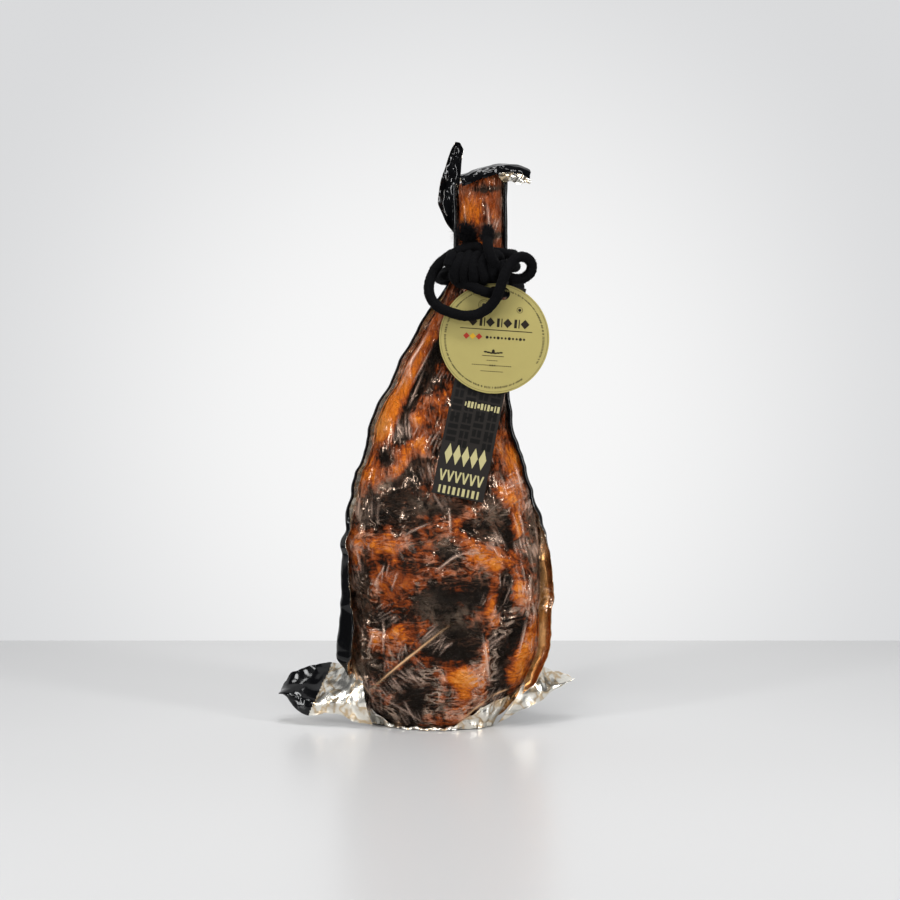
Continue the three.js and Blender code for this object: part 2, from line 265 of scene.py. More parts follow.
class Nodes:
    """A short way to wire a material."""

    def __init__(self, name):
        self.material = bpy.data.materials.new(name)
        self.material.use_nodes = True
        self.tree = self.material.node_tree
        self.tree.nodes.clear()
        self.output = self.tree.nodes.new("ShaderNodeOutputMaterial")

    def add(self, kind, inputs, output=0, **values):
        """Adds a node, wires or sets its inputs and gives one of its outputs."""
        node = self.tree.nodes.new("ShaderNode" + kind)
        for key, value in values.items():
            setattr(node, key, value)
        for key, value in inputs.items():
            if isinstance(value, Value):
                self.tree.links.new(value.socket, node.inputs[key])
            else:
                node.inputs[key].default_value = value
        return Value(self, node.outputs[output])

    def math(self, operation, a, b=0.0, clamp=False):
        return self.add("Math", {0: a, 1: b}, operation=operation, use_clamp=clamp)

    def attribute(self, name):
        return self.add("Attribute", {}, "Fac", attribute_name=name)

    def coordinates(self):
        return self.add("TexCoord", {}, "Object")

    def stretched(self, scale, turn):
        """The coordinates, stretched and turned about the line of sight from the front."""
        inputs = {"Vector": self.coordinates(), "Scale": scale, "Rotation": (0, turn, 0)}
        return self.add("Mapping", inputs)

    def noise(self, vector, scale, detail, roughness, distortion=0.0):
        inputs = {"Vector": vector, "Scale": scale, "Detail": detail, "Roughness": roughness,
                  "Distortion": distortion}
        return self.add("TexNoise", inputs, "Fac")

    def ramp(self, value, stops, interpolation="LINEAR"):
        """A colour for each value. A stop is a place and a colour, or a place and a grey."""
        colours = self.add("ValToRGB", {0: value})
        ramp = colours.socket.node.color_ramp
        ramp.interpolation = interpolation
        while len(ramp.elements) < len(stops):
            ramp.elements.new(0.5)
        for element, (place, colour) in zip(ramp.elements, stops):
            element.position = place
            element.color = (*colour, 1) if isinstance(colour, tuple) else (colour, colour, colour, 1)
        return colours

    def patches(self, scale, detail, roughness, distortion, low, high):
        """Soft-edged patches, 0 where the noise is under low and 1 where it is over high."""
        cloudy = self.noise(self.coordinates(), scale, detail, roughness, distortion)
        return self.ramp(cloudy, [(low, 0), (high, 1)])

    def mix(self, factor, a, b):
        """The colour a, or b where the factor is 1."""
        a, b = ((*colour, 1) if isinstance(colour, tuple) else colour for colour in (a, b))
        return self.add("Mix", {0: factor, 6: a, 7: b}, 2, data_type="RGBA")

    def by_height(self, low, high):
        """One value on the broad lower part of the ham and another above it."""
        height = self.add("SeparateXYZ", {0: self.coordinates()}, 2)
        above = self.ramp(height, [(0.24, 0), (0.32, 1)])
        return self.add("Mix", {0: above, 2: low, 3: high}, data_type="FLOAT")

    def ridge(self, vector, scale, detail, sharp, distortion):
        """Thin raised lines where the noise passes through its middle."""
        away = self.math("ABSOLUTE", self.noise(vector, scale, detail, 0.5, distortion) - 0.5)
        return self.math("SUBTRACT", 1.0, away * sharp, clamp=True)

    def bump(self, height, distance, strength):
        return self.add("Bump", {"Height": height, "Distance": distance, "Strength": strength})

    def facets(self, scale, turn, long):
        """Flat, pointed facets of a drawn or crumpled sheet, long ones leaning by turn."""
        inputs = {"Vector": self.stretched((1, 1, long), turn), "Scale": scale}
        return self.add("TexVoronoi", inputs, "Distance")

    def crinkle(self, strength, distance, waves, coarse):
        """The sharp folds of a tight plastic sheet: two families of facets by turns, over soft waves."""
        first = self.patches(15, 2, 0.5, 0, 0.44, 0.56)

        def family(big, small, turn):
            return self.facets(big / coarse, turn, 0.24) + self.facets(small / coarse, turn - 0.2, 0.3) * 0.45

        leaning, level = family(95, 210, 0.48), family(85, 190, 1.25)
        height = leaning * first + level * (1.0 - first)
        height = height + self.noise(self.coordinates(), 60 / coarse, 3, 0.5) * waves
        return self.bump(height, distance, strength)

    def shader(self, colour, roughness, **more):
        """A surface of this colour. The names of further inputs have _ for their spaces."""
        inputs = {"Base Color": (*colour, 1) if isinstance(colour, tuple) else colour, "Roughness": roughness}
        inputs.update({name.replace("_", " "): value for name, value in more.items()})
        return self.add("BsdfPrincipled", inputs)

    def finish(self, shader):
        self.tree.links.new(shader.socket, self.output.inputs["Surface"])
        return self.material


def meat_material():
    """Blotches from black crust through red-brown lean to clear amber fat, with wrinkles, a grey bloom, pale
    painted highlights along the crests of its folds and painted shade in its grooves.
    """
    look = settings("meat")
    n = Nodes("cured_meat")
    tone, mould_and_reflection, even = (n.attribute(name) for name in ("tone", "mould_and_reflection", "even"))
    where = n.coordinates()
    level_lines, leaning = n.stretched((0.4, 1, 1), 0.35), n.stretched((1, 1, 0.3), 0.48)
    blotches = n.noise(where, 34, 9, 0.68, 0.6)
    fibres = n.by_height(*(n.noise(grain, 135, 6, 0.66, 0.3) for grain in (level_lines, leaning)))
    specks = n.noise(where, 330, 5, 0.75, 0.2)
    folds = n.by_height(*(n.ridge(grain, 95, 3, 13, 1.2) for grain in (level_lines, leaning)))
    grooves = n.by_height(*(n.ridge(grain, 70, 4, 8, 1.5) for grain in (level_lines, leaning)))
    # The grooves, which the bump also sinks, darken the level: painted shade in them.
    ragged = (blotches - 0.5) * 1.15 + (fibres - 0.5) * 0.50 + (specks - 0.5) * 0.45 + grooves * -0.20
    level = tone * 0.34 + 0.51 + ragged * (1.0 - even * 0.6)
    crust, mahogany, amber = tuple(look.crust), tuple(look.mahogany), tuple(look.amber)
    colour = n.ramp(level, [(0.26, crust), (0.38, (0.028, 0.008, 0.003)), (0.50, mahogany),
                            (0.62, (0.36, 0.075, 0.014)), (0.78, amber), (1.0, (0.90, 0.36, 0.07))])
    bloom = mould_and_reflection * n.patches(110, 8, 0.7, 0.3, 0.42, 0.58)
    colour = n.mix(bloom, colour, tuple(look.mould_and_reflection))
    # Painted highlight: pale pink along the crests of the folds, in patches, fainter on dark meat and on smooth
    # parts.
    pale = folds * n.patches(26, 3, 0.6, 0.4, 0.46, 0.62) * (0.9 - even * 0.8)
    colour = n.mix(pale * n.ramp(level, [(0.30, 0.16), (0.55, 1)]), colour, (0.74, 0.36, 0.23))
    relief = fibres * 0.7 + (specks + blotches * 2) + (folds * 0.5 - grooves * 0.6)
    return n.finish(n.shader(colour, bloom * 0.35 + 0.32, Normal=n.bump(relief, 0.0024, 1.0),
                             Specular_IOR_Level=0.12))


def film_material():
    """Clear, and bright where it turns away or is creased. Its attributes paint pale pink and golden highlights
    onto its creases, and stain it.
    """
    n = Nodes("clear_film")
    normal = n.crinkle(1.0, 0.0024, 1.2, 1.0)
    gloss = n.shader((1.0, 0.72, 0.54), 0.22, Metallic=1.0, Normal=normal)
    tint = n.mix(n.attribute("stain"), (1.0, 0.97, 0.93), (0.66, 0.46, 0.28))
    clear = n.add("BsdfTransparent", {"Color": tint})
    facing = 0.033    # what it reflects straight on, which would veil the meat
    glance = n.math("MAXIMUM", n.add("Fresnel", {"IOR": 1.45, "Normal": normal}) - facing, 0.003) * 0.68
    lines = n.by_height(n.ridge(n.stretched((0.45, 1, 1), 0.7), 75, 2, 12, 1.0),
                        n.ridge(n.stretched((1, 1, 0.3), 0.48), 80, 2, 12, 0.8))
    lines = lines * n.patches(24, 3, 0.6, 0.5, 0.50, 0.60) * 0.38
    outside = 1.0 - n.add("NewGeometry", {}, "Backfacing")
    share = n.math("MULTIPLY", glance + lines, outside, clamp=True)
    mixed = n.add("MixShader", {0: share, 1: clear, 2: gloss})
    # The first two paint highlights onto the creases, lit the same whatever the lamps: a pale pink one and a
    # golden one.
    for name, colour, cover, metal in (("painted_highlight", (0.90, 0.62, 0.48), 0.5, 0.3),
                                       ("gold_highlight_creases", (1.0, 0.60, 0.32), 0.95, 0.3),
                                       ("silver", (1, 1, 1), 0.9, 0.9)):
        line = n.shader(colour, 0.3, Metallic=metal)
        mixed = n.add("MixShader", {0: n.attribute(name) * cover, 1: mixed, 2: line})
    return n.finish(mixed)


def laminate_material():
    n = Nodes("black_laminate")
    rough = n.noise(n.coordinates(), 40, 4, 0.6) * 0.12 + 0.06
    folds = n.crinkle(0.36, 0.0011, 1.6, 2.6)
    return n.finish(n.shader(tuple(settings("pouch").laminate), rough, Normal=folds, Specular_IOR_Level=0.30))


def metallised_material():
    n = Nodes("metallised_laminate")
    silver = (0.86, 0.83, 0.75)
    smooth_part = 1.0 - n.ridge(n.coordinates(), 48, 2, 15, 0.5) * 0.75
    colour = n.mix(smooth_part, tuple(settings("pouch").metallised), silver)
    return n.finish(n.shader(colour, 0.27, Metallic=1.0, Normal=n.crinkle(0.6, 0.0012, 1.4, 1.5)))


def velvet_material():
    n = Nodes("velvet")
    tuft = n.noise(n.coordinates(), 700, 3, 0.6)
    dark = tuple(settings("cord").colour)
    return n.finish(n.shader(n.mix(tuft, dark, tuple(3 * c for c in dark)), 0.95, Specular_IOR_Level=0.05,
                             Sheen_Weight=0.02, Sheen_Roughness=0.4, Normal=n.bump(tuft, 0.0006, 0.8)))


def card_material(name, colour, roughness, fleck=0.10):
    """Smooth coated card: faint mottling in its colour and a fine paper tooth."""
    n = Nodes(name)
    cloudy = n.noise(n.coordinates(), 60, 5, 0.6)
    darker, paler = (tuple(min(1, c * (1 + change)) for c in colour) for change in (-fleck, fleck))
    shade = n.mix(cloudy, darker, paler)
    tooth = n.noise(n.coordinates(), 2200, 2, 0.5)
    return n.finish(n.shader(shade, tooth * 0.10 + roughness, Specular_IOR_Level=0.25,
                             Normal=n.bump(tooth, 0.00006, 0.5)))


# ---------------------------------------------------------------- the ham
# Spots on the front of the ham: across, height, half width and half length (mm), tilt (degrees), amount.
# Lumps and hollows, and how far each stands out (mm). The smooth tendon down the upper left comes first with the
# groove beside it, and the two bones of the shank come last.
MUSCLES = [
    (-14, 405, 11, 62, 29, 7.0), (-36, 352, 11, 36, 4, 5.0), (-1, 394, 6, 52, 27, -7.0),
    (-25, 334, 7, 16, 20, -4.0), (-8, 350, 11, 18, 26, 4.5), (-50, 336, 9, 22, 4, 3.0),
    (-64, 284, 16, 18, 20, 4.0), (24, 372, 16, 40, 24, 5.0), (-20, 284, 10, 34, 46, -4.0),
    (-42, 249, 20, 32, 72, 6.0), (-52, 212, 14, 34, 82, 5.0), (-50, 229, 5, 36, 78, -4.0),
    (-32, 174, 18, 40, 78, 5.0), (-70, 152, 10, 26, 0, -4.0), (-44, 120, 10, 14, 40, -4.0),
    (-26, 112, 12, 20, 76, 4.0), (42, 239, 10, 20, 66, 4.5), (68, 226, 14, 30, -66, -6.0),
    (78, 200, 14, 34, -68, 5.5), (98, 266, 16, 26, -10, 5.0), (104, 304, 10, 34, -14, 4.0),
    (76, 150, 10, 28, 6, 4.0), (90, 156, 6, 30, 4, -4.5), (110, 160, 9, 24, 0, 3.5),
    (112, 84, 10, 44, 20, 4.5), (99, 110, 7, 24, 12, -4.5), (40, 104, 26, 28, 0, -3.5),
    (47, 58, 22, 22, 0, 5.0), (82, 78, 8, 32, 6, -4.5), (-14, 50, 34, 22, 0, -2.5),
    (-72, 76, 12, 30, 0, 3.0), (16, 150, 20, 20, 0, 3.0), (66, 575, 7, 40, 0, -3.0),
    (50, 575, 8, 42, 0, 2.5), (79, 580, 7, 36, 3, 2.5),
]
# Where the surface is clear and amber, above 0, or dark and crusted, below 0. Many spots lie on the lumps and
# hollows of MUSCLES, lighter on a lump and darker in a hollow: painted light and painted shade over the ham's
# own colour. The bright spots at (-76, 203), (-24, 298) and (-55, 106) are painted highlights.
TONES = [
    (48, 575, 10, 46, 0, 0.75), (82, 580, 13, 50, 0, 0.2), (72, 606, 3, 22, 86, -1.0),
    (80, 554, 2.5, 16, 84, -1.2), (-14, 405, 11, 62, 29, 0.75), (-36, 352, 11, 34, 4, 0.7),
    (-1, 394, 6, 54, 27, -1.8), (-25, 334, 7, 14, 20, -1.8), (16, 427, 6, 10, 20, -1.9),
    (6, 388, 8, 9, 0, -1.6), (-8, 352, 9, 14, 24, 1.9), (-50, 336, 8, 22, 4, 1.6),
    (-10, 323, 7, 18, 58, 1.9), (3, 314, 12, 12, 0, 0.7), (-45, 310, 14, 4, 70, -1.0),
    (-64, 284, 14, 15, 20, 1.2), (-24, 298, 6, 13, 30, 1.5), (-16, 286, 10, 34, 48, -2.0),
    (34, 372, 16, 30, 24, 0.5), (98, 366, 8, 30, -10, -1.5), (104, 306, 10, 26, -12, 1.3),
    (88, 322, 12, 20, 0, 0.8), (-42, 249, 16, 28, 72, -1.6), (4, 257, 20, 12, 0, -0.3),
    (27, 253, 11, 6, 0, -1.9), (42, 240, 8, 17, 66, 1.3), (67, 227, 13, 28, -70, -2.3),
    (78, 248, 13, 14, 0, -1.5), (97, 266, 16, 14, 0, 1.6), (104, 234, 5, 20, -6, 1.2),
    (-53, 211, 14, 30, 82, 1.05), (-76, 203, 5, 16, 0, 1.5), (27, 203, 11, 11, 0, -1.5),
    (75, 199, 13, 31, -68, 1.7), (48, 222, 6, 14, -60, 1.2), (-32, 173, 15, 36, 80, 0.45),
    (16, 150, 20, 15, 0, -1.3), (55, 155, 13, 11, 0, -1.5), (76, 150, 8, 25, 8, 1.1),
    (82, 127, 6, 7, 0, 1.9), (90, 157, 6, 26, 4, -2.0), (110, 160, 9, 18, 0, 1.5),
    (-71, 152, 9, 30, 0, -1.7), (-48, 124, 10, 8, 0, -1.9), (-27, 113, 16, 8, 0, 1.1),
    (-55, 106, 6, 9, 0, 1.4), (113, 84, 9, 46, 20, 1.9), (-40, 360, 40, 70, 25, 0.32),
    (60, 575, 26, 40, 0, 0.3), (101, 114, 8, 15, 10, -2.0), (37, 102, 28, 22, 0, -1.9),
    (69, 83, 3.5, 30, 4, 2.2), (82, 78, 8, 32, 4, -2.1), (47, 60, 18, 16, 0, 2.7), (38, 26, 16, 16, 0, 0.7),
    (-14, 46, 36, 22, 0, -1.6), (-7, 78, 14, 10, 0, 0.5), (-73, 74, 12, 26, 0, -1.5),
    (30, 8, 60, 7, 0, 0.3), (90, 44, 16, 12, 0, -0.8), (-40, 14, 40, 10, 0, -0.9),
]
# Where a dry grey bloom lies. The spot on the shank's right side, at 84 mm across, is a painted reflection of
# the film standing off the shank.
BLOOMS = [
    (124, 214, 12, 42, -6, 1.0), (-72, 239, 8, 14, 0, 0.9), (78, 244, 8, 20, 10, 0.7),
    (130, 157, 10, 22, 0, 0.7), (8, 133, 22, 12, 70, 0.5), (44, 132, 20, 12, 0, 0.6),
    (-45, 278, 5, 22, 56, 1.0), (4, 257, 18, 12, 0, 0.5), (65, 180, 8, 7, 0, 0.6), (-72, 76, 8, 30, 0, 0.5),
    (84, 575, 8, 50, 0, 0.35), (-70, 150, 8, 24, 0, 0.4), (20, 212, 18, 8, 0, 0.5),
]
# Where the surface is smooth and even.
SMOOTH = [
    (-14, 405, 12, 64, 29, 1.0), (-36, 352, 11, 34, 4, 0.9), (47, 60, 16, 14, 0, 0.2),
    (48, 570, 12, 60, 0, 0.9), (84, 575, 14, 60, 0, 0.9), (-32, 173, 15, 30, 80, 0.5),
    (112, 84, 7, 40, 20, 0.4),
]


def front_spots(points, spots):
    """The sum of spots on the film side, at each point."""
    x, y, z = points.T
    front = 1 - smoothstep(-0.012, 0.010, y)
    total = np.zeros(len(points))
    for *shape, weight in spots:
        total += weight * spot(x, z, *shape)
    return total * front


def wrinkles(points):
    """Folds of the skin, about 1 where they stand out and -1 in the grooves between them."""
    lean = points @ np.array([[1, 0, 0.35], [0, 1, 0], [-0.12, 0, 0.42]]).T
    return 0.7 * noise_at(points, 0.018, 9.4) + 0.9 - 2.2 * np.abs(noise_at(lean, 0.014, 5.0, 2))


class HAM_OT_meat(bpy.types.Operator):
    """Models the ham: one solid, swollen and hollowed where its muscles, fat and tendons lie"""

    bl_idname = "ham.meat"
    bl_label = "Ham"

    def execute(self, context):
        make_active(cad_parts["ham"])
        bpy.ops.object.duplicate()
        ham = context.object
        for key in list(ham.keys()):
            del ham[key]
        ham.parent = None
        ham.name = ham.data.name = "cured_ham"
        ham.data.materials.clear()
        bpy.ops.object.mode_set(mode="EDIT")
        bpy.ops.mesh.select_all(action="SELECT")
        bpy.ops.mesh.remove_doubles(threshold=1e-5)
        bpy.ops.object.mode_set(mode="OBJECT")
        modify(ham, "REMESH", mode="VOXEL", voxel_size=settings("meat").grain)
        modify(ham, "SMOOTH", factor=0.8, iterations=16)
        self.swell(ham)
        modify(ham, "SMOOTH", factor=0.5, iterations=2)
        self.paint(ham)
        ham.data.materials.append(meat_material())
        hand_over(ham, "cured_meat", "ham")
        return {"FINISHED"}

    def swell(self, ham):
        points, normals = points_of(ham), normals_of(ham)
        rough = 1 - np.clip(front_spots(points, SMOOTH), 0, 1)
        out = front_spots(points, MUSCLES) + noise_at(points, 0.050, 3.1) * 3.2
        out = (out + wrinkles(points) * 1.5 * rough) * MM
        calm = smoothstep(0.003, 0.022, points[:, 2]) * (1 - 0.6 * smoothstep(0.46, 0.52, points[:, 2]))
        moved = points + normals * (out * calm)[:, None]
        sag = (1 - smoothstep(0.001, 0.024, points[:, 2])) * np.exp(-((points[:, 0] - 0.014) / 0.062) ** 2)
        moved[:, 1] *= np.where(moved[:, 1] < 0, 1 + 0.24 * sag, 1)
        moved[:, 2] = np.maximum(moved[:, 2], HAM_LOW.z)
        move_points(ham, moved)

    def paint(self, ham):
        points = points_of(ham)
        even = np.clip(front_spots(points, SMOOTH), 0, 1)
        # The tone follows the skin's folds that swell() also moves the surface by: darker in their grooves,
        # painted shade, and lighter where they stand out, painted light.
        tone = front_spots(points, TONES) + 0.3 * (wrinkles(points) - 0.35) * (1 - even)
        tone = 1.25 * np.tanh(tone / 1.25)
        for name, values in (("tone", tone), ("mould_and_reflection", front_spots(points, BLOOMS)), ("even", even)):
            add_attribute(ham, name, values)


# ---------------------------------------------------------------- the pouch
SHANK_CUT_SLOPE = 0.3   # as the ham's sawn end
CUT_FROM, CUT_TO = 0.545, 0.618


class Skin:
    """The finished ham's outline at every height, which the sheets of the pouch are drawn onto."""

    rows, turns = 270, 300

    def __init__(self, ham, gap):
        tree = BVHTree.FromObject(ham, bpy.context.evaluated_depsgraph_get())
        self.heights = np.linspace(HAM_LOW.z + 0.0012, HAM_HIGH.z - 0.001, self.rows)
        self.angles = np.linspace(0, 2 * math.pi, self.turns, endpoint=False)
        self.centre = np.zeros(self.rows)
        self.radius = np.zeros((self.rows, self.turns))
        below_cut = HAM_LOW.z + CUT_TO - 0.012
        for i, height in enumerate(self.heights):
            z = min(height, below_cut)
            left = tree.ray_cast(Vector((-1, 0, z)), Vector((1, 0, 0)))[0]
            right = tree.ray_cast(Vector((1, 0, z)), Vector((-1, 0, 0)))[0]
            self.centre[i] = (left.x + right.x) / 2
            start = Vector((self.centre[i], 0, z))
            for j, angle in enumerate(self.angles):
                hit = tree.ray_cast(start, Vector((math.cos(angle), -math.sin(angle), 0)))
                self.radius[i, j] = hit[3] if hit[0] else self.radius[i - 1, j]
        taut = self.blur(self.radius, 5)
        self.radius = self.blur(np.maximum(taut, self.radius + 0.3 * gap), 1) + gap
        self.centre = np.convolve(np.pad(self.centre, 4, "edge"), np.ones(9) / 9, "valid")

    @staticmethod
    def blur(table, times):
        for _ in range(times):
            table = (np.roll(table, 1, 1) + 2 * table + np.roll(table, -1, 1)) / 4
            up, down = np.vstack([table[1:], table[-1:]]), np.vstack([table[:1], table[:-1]])
            table = (up + 2 * table + down) / 4
        return table

    def at(self, height, angle, stand=0.0):
        """Points on the sheet at these heights and angles, moved out by stand. Angle 0 is to the right."""
        height, angle = np.broadcast_arrays(np.asarray(height, float), np.asarray(angle, float))
        row = np.interp(height, self.heights, np.arange(self.rows))
        column = np.mod(angle, 2 * math.pi) / (2 * math.pi) * self.turns
        r0, c0 = np.minimum(row.astype(int), self.rows - 2), column.astype(int) % self.turns
        fr, fc, c1 = row - r0, column - column.astype(int), (c0 + 1) % self.turns
        near = self.radius[r0, c0] * (1 - fc) + self.radius[r0, c1] * fc
        far = self.radius[r0 + 1, c0] * (1 - fc) + self.radius[r0 + 1, c1] * fc
        radius = near * (1 - fr) + far * fr + stand
        middle = np.interp(height, self.heights, self.centre)
        across = radius * np.cos(angle)
        level = height - HAM_LOW.z
        rise = smoothstep(CUT_FROM, CUT_TO, level) * SHANK_CUT_SLOPE * across
        return np.stack([middle + across, -radius * np.sin(angle), height + rise], -1)

    def evenly(self, heights, first, last, columns):
        """Angles from first to last, a pair for each height, spaced evenly along the sheet."""
        share = np.linspace(0, 1, 160)
        angles = first[:, None] + (last - first)[:, None] * share
        steps = np.linalg.norm(np.diff(self.at(heights[:, None], angles), axis=1), axis=2)
        run = np.hstack([np.zeros((len(heights), 1)), np.cumsum(steps, 1)])
        even = [np.interp(np.linspace(0, r[-1], columns), r, a) for r, a in zip(run, angles)]
        return np.array(even)


def flange_shape(heights, side):
    """The seal up one side: its width, lean to the front, how far it folds over, where and how sharply."""
    z = heights
    if side < 0:
        low = smoothstep(0.058, 0.084, z) * (1 - smoothstep(0.185, 0.262, z))
        high = band(0.25, 0.475, z, 0.03)
        shank = band(0.545, 0.64, z, 0.02)
        bottom = low * (1 - smoothstep(0.07, 0.20, z))
        width = 0.006 + 0.016 * low + 0.020 * bottom + 0.005 * high + 0.003 * shank
        lean = np.radians(14 - 4 * low)
        curl = np.radians(120 - 4 * low + 18 * bottom + 75 * high + 30 * shank)
        where, span = 0.50 - 0.22 * low + 0.11 * bottom + 0.27 * high, 0.40 - 0.16 * low - 0.22 * high
    else:
        open_part = band(0.0, 0.5, z, 0.03) * (1 - smoothstep(0.165, 0.275, z))
        width = 0.005 + 0.011 * open_part * smoothstep(0.02, 0.06, z) + 0.005 * band(0.2, 0.40, z, 0.03)
        width += 0.004 * band(0.545, 0.64, z, 0.02)
        lean = np.radians(28 - 12 * open_part)
        curl = np.radians(150 - 118 * open_part)
        where, span = np.full_like(z, 0.5), np.full_like(z, 0.5)
    seed = 4.0 + side
    width = width * (1 + 0.08 * wander(z, 0.034, seed)) + 0.0005 * wander(z, 0.009, seed + 9)
    lean = lean + 0.14 * wander(z, 0.045, seed + 3) + 0.05 * wander(z, 0.014, seed + 5)
    curl = curl * (1 + 0.08 * wander(z, 0.040, seed + 7))
    return width, lean, curl, where + 0.03 * wander(z, 0.05, seed + 8), span


def seam_angles(heights):
    """Where the two sheets part from the ham, on the right and on the left."""
    right = np.radians(10 + 8 * band(0.03, 0.19, heights, 0.03))
    left = np.radians(180 - 11 * np.ones_like(heights))
    return right, left


def flange(skin, heights, angle, side, layer, columns=12):
    """The seal from the ham outwards, as rows of points. layer is 1 for the film and -1 for the laminate."""
    width, lean, curl, where, span = (value[:, None] for value in flange_shape(heights, side))
    share = np.linspace(0, 1, columns)
    turn = lean + curl * smoothstep(where - span, where + span, share)
    step = width / (columns - 1)
    x = np.cumsum(side * np.cos(turn) * step, 1)
    y = np.cumsum(-np.sin(turn) * step, 1)
    points = np.repeat(skin.at(heights, angle, 0.0010)[:, None, :], columns, 1)
    points[..., 0] += x - side * np.sin(turn) * layer * 0.00035 + side * 0.0004
    points[..., 1] += y - np.cos(turn) * layer * 0.00035
    return points


def crease_height(along, up, creases):
    """The height of straight, sharp ridges at each place of a sheet."""
    height = np.zeros_like(along)
    for x, z, turn, length, width, tall in creases:
        near = (np.abs(along - x) < length) & (np.abs(up - z) < length)
        if not near.any():
            continue
        dx, dz = along[near] - x, up[near] - z
        run = dx * math.cos(turn) + dz * math.sin(turn)
        off = -dx * math.sin(turn) + dz * math.cos(turn) + 0.04 * run * run / length
        ridge = np.clip(1 - np.abs(off) / width, 0, 1) * np.clip(1 - (run / length) ** 2, 0, 1)
        height[near] += tall * ridge
    return height


def random_creases(bunches, seed):
    """Bunches of short creases side by side, with more bunches towards the edges of the sheet."""
    draw = random.Random(seed)
    made = []
    wide = 0.13
    for _ in range(bunches):
        z = draw.uniform(0.01, 0.62)
        edge = draw.random() < 0.4
        x = draw.choice((-1, 1)) * wide * draw.uniform(0.62, 1.0) if edge else draw.uniform(-wide, wide)
        grain = noise.noise(Vector((x / 0.08, z / 0.08, seed)))
        turn = math.pi / 2 + (0.4 if edge else 2.1) * grain - 0.35 * math.copysign(z > 0.3, x + 0.03)
        apart, count = draw.uniform(0.0026, 0.0045), draw.randint(2, 8)
        for i in range(count):
            off = (i - count / 2) * apart
            along = draw.gauss(0, 0.003)
            made.append((x - off * math.sin(turn) + along * math.cos(turn),
                         z + off * math.cos(turn) + along * math.sin(turn),
                         turn + draw.gauss(0, 0.10), draw.uniform(0.005, 0.017),
                         draw.uniform(0.0011, 0.0022), draw.uniform(0.0003, 0.0010)))
    return made


# Long creases of the film: start and end, in millimetres, width and height. The first ones carry a painted
# golden highlight.
GOLD_HIGHLIGHTED = 5
LONG_CREASES = [
    ((-61, 46), (28, 125), 2.4, 1.6), ((37, 9), (73, 39), 2.2, 1.3), ((73, 39), (95, 46), 2.2, 1.3),
    ((-79, 76), (-70, 34), 2.2, 1.2), ((-74, 62), (-60, 38), 2.2, 1.2), ((65, 114), (73, 52), 2.6, 1.6),
    ((-44, 129), (-44, 88), 2.2, 1.3), ((28, 255), (30, 222), 2.2, 1.3), ((9, 450), (-25, 395), 2.2, 1.5),
    ((-6, 424), (-32, 372), 2.0, 1.0), ((11, 430), (-12, 388), 2.0, 1.2), ((2, 405), (-16, 362), 2.0, 1.2),
    ((114, 127), (104, 83), 2.4, 1.4), ((104, 252), (112, 214), 2.2, 1.3),
    ((98, 247), (105, 220), 2.0, 1.2), ((84, 291), (92, 262), 2.0, 1.2), ((100, 302), (110, 262), 2.2, 1.4),
    ((112, 284), (118, 256), 2.0, 1.0), ((-76, 212), (-68, 176), 2.2, 1.3),
    ((-55, 114), (-61, 92), 2.6, 1.4), ((-58, 45), (6, 7), 2.2, 1.0), ((122, 250), (128, 188), 2.2, 1.1),
    ((-72, 60), (-48, 22), 2.2, 1.2), ((-24, 222), (8, 238), 2.0, 1.2), ((40, 205), (12, 182), 2.2, 1.3),
    ((47, 206), (30, 196), 2.0, 1.2), ((46, 590), (49, 545), 1.8, 1.0), ((70, 594), (72, 548), 2.4, 1.2),
    ((97, 600), (96, 540), 1.8, 1.0),
]


def long_creases():
    made = []
    for (x0, z0), (x1, z1), width, tall in LONG_CREASES:
        length = math.hypot(x1 - x0, z1 - z0) / 2 * MM
        made.append(((x0 + x1) / 2 * MM, (z0 + z1) / 2 * MM, math.atan2(z1 - z0, x1 - x0), length * 1.1,
                     width * MM, tall * MM))
    return made


class DrawnSheet:
    """A sheet of the pouch, drawn onto the ham between its two seams: the front film or the back laminate."""

    def __init__(self, rows, columns, front):
        self.front, self.columns = front, columns
        self.skin = Skin(bpy.data.objects["cured_ham"], settings("pouch").gap)
        self.heights = np.linspace(HAM_LOW.z + 0.0005, HAM_HIGH.z - 0.0075, rows)
        self.right, self.left = seam_angles(self.heights)
        first, last = (self.left, self.right) if front else (self.right, self.left - 2 * math.pi)
        self.angles = self.skin.evenly(self.heights, first, last, columns)
        self.flat = self.skin.at(self.heights[:, None], self.angles)

    def creased(self, creases, shift=0.0):
        return crease_height(self.flat[..., 0] + shift, self.flat[..., 2], creases)

    def with_seals(self, stand, fade_from, least):
        """All of the sheet's points. It stands off the ham, less so near its seams, and ends in its seals."""
        edge = np.minimum(np.arange(self.columns), np.arange(self.columns)[::-1])
        stand = np.clip(stand * smoothstep(fade_from, 5, edge)[None, :] + least, 0, 0.0034)
        middle = self.skin.at(self.heights[:, None], self.angles, stand)
        layer = 1 if self.front else -1
        left = flange(self.skin, self.heights, self.left, -1, layer)
        right = flange(self.skin, self.heights, self.right, 1, layer)
        first, last = (left, right) if self.front else (right, left)
        return np.concatenate([first[:, ::-1], middle, last], 1)


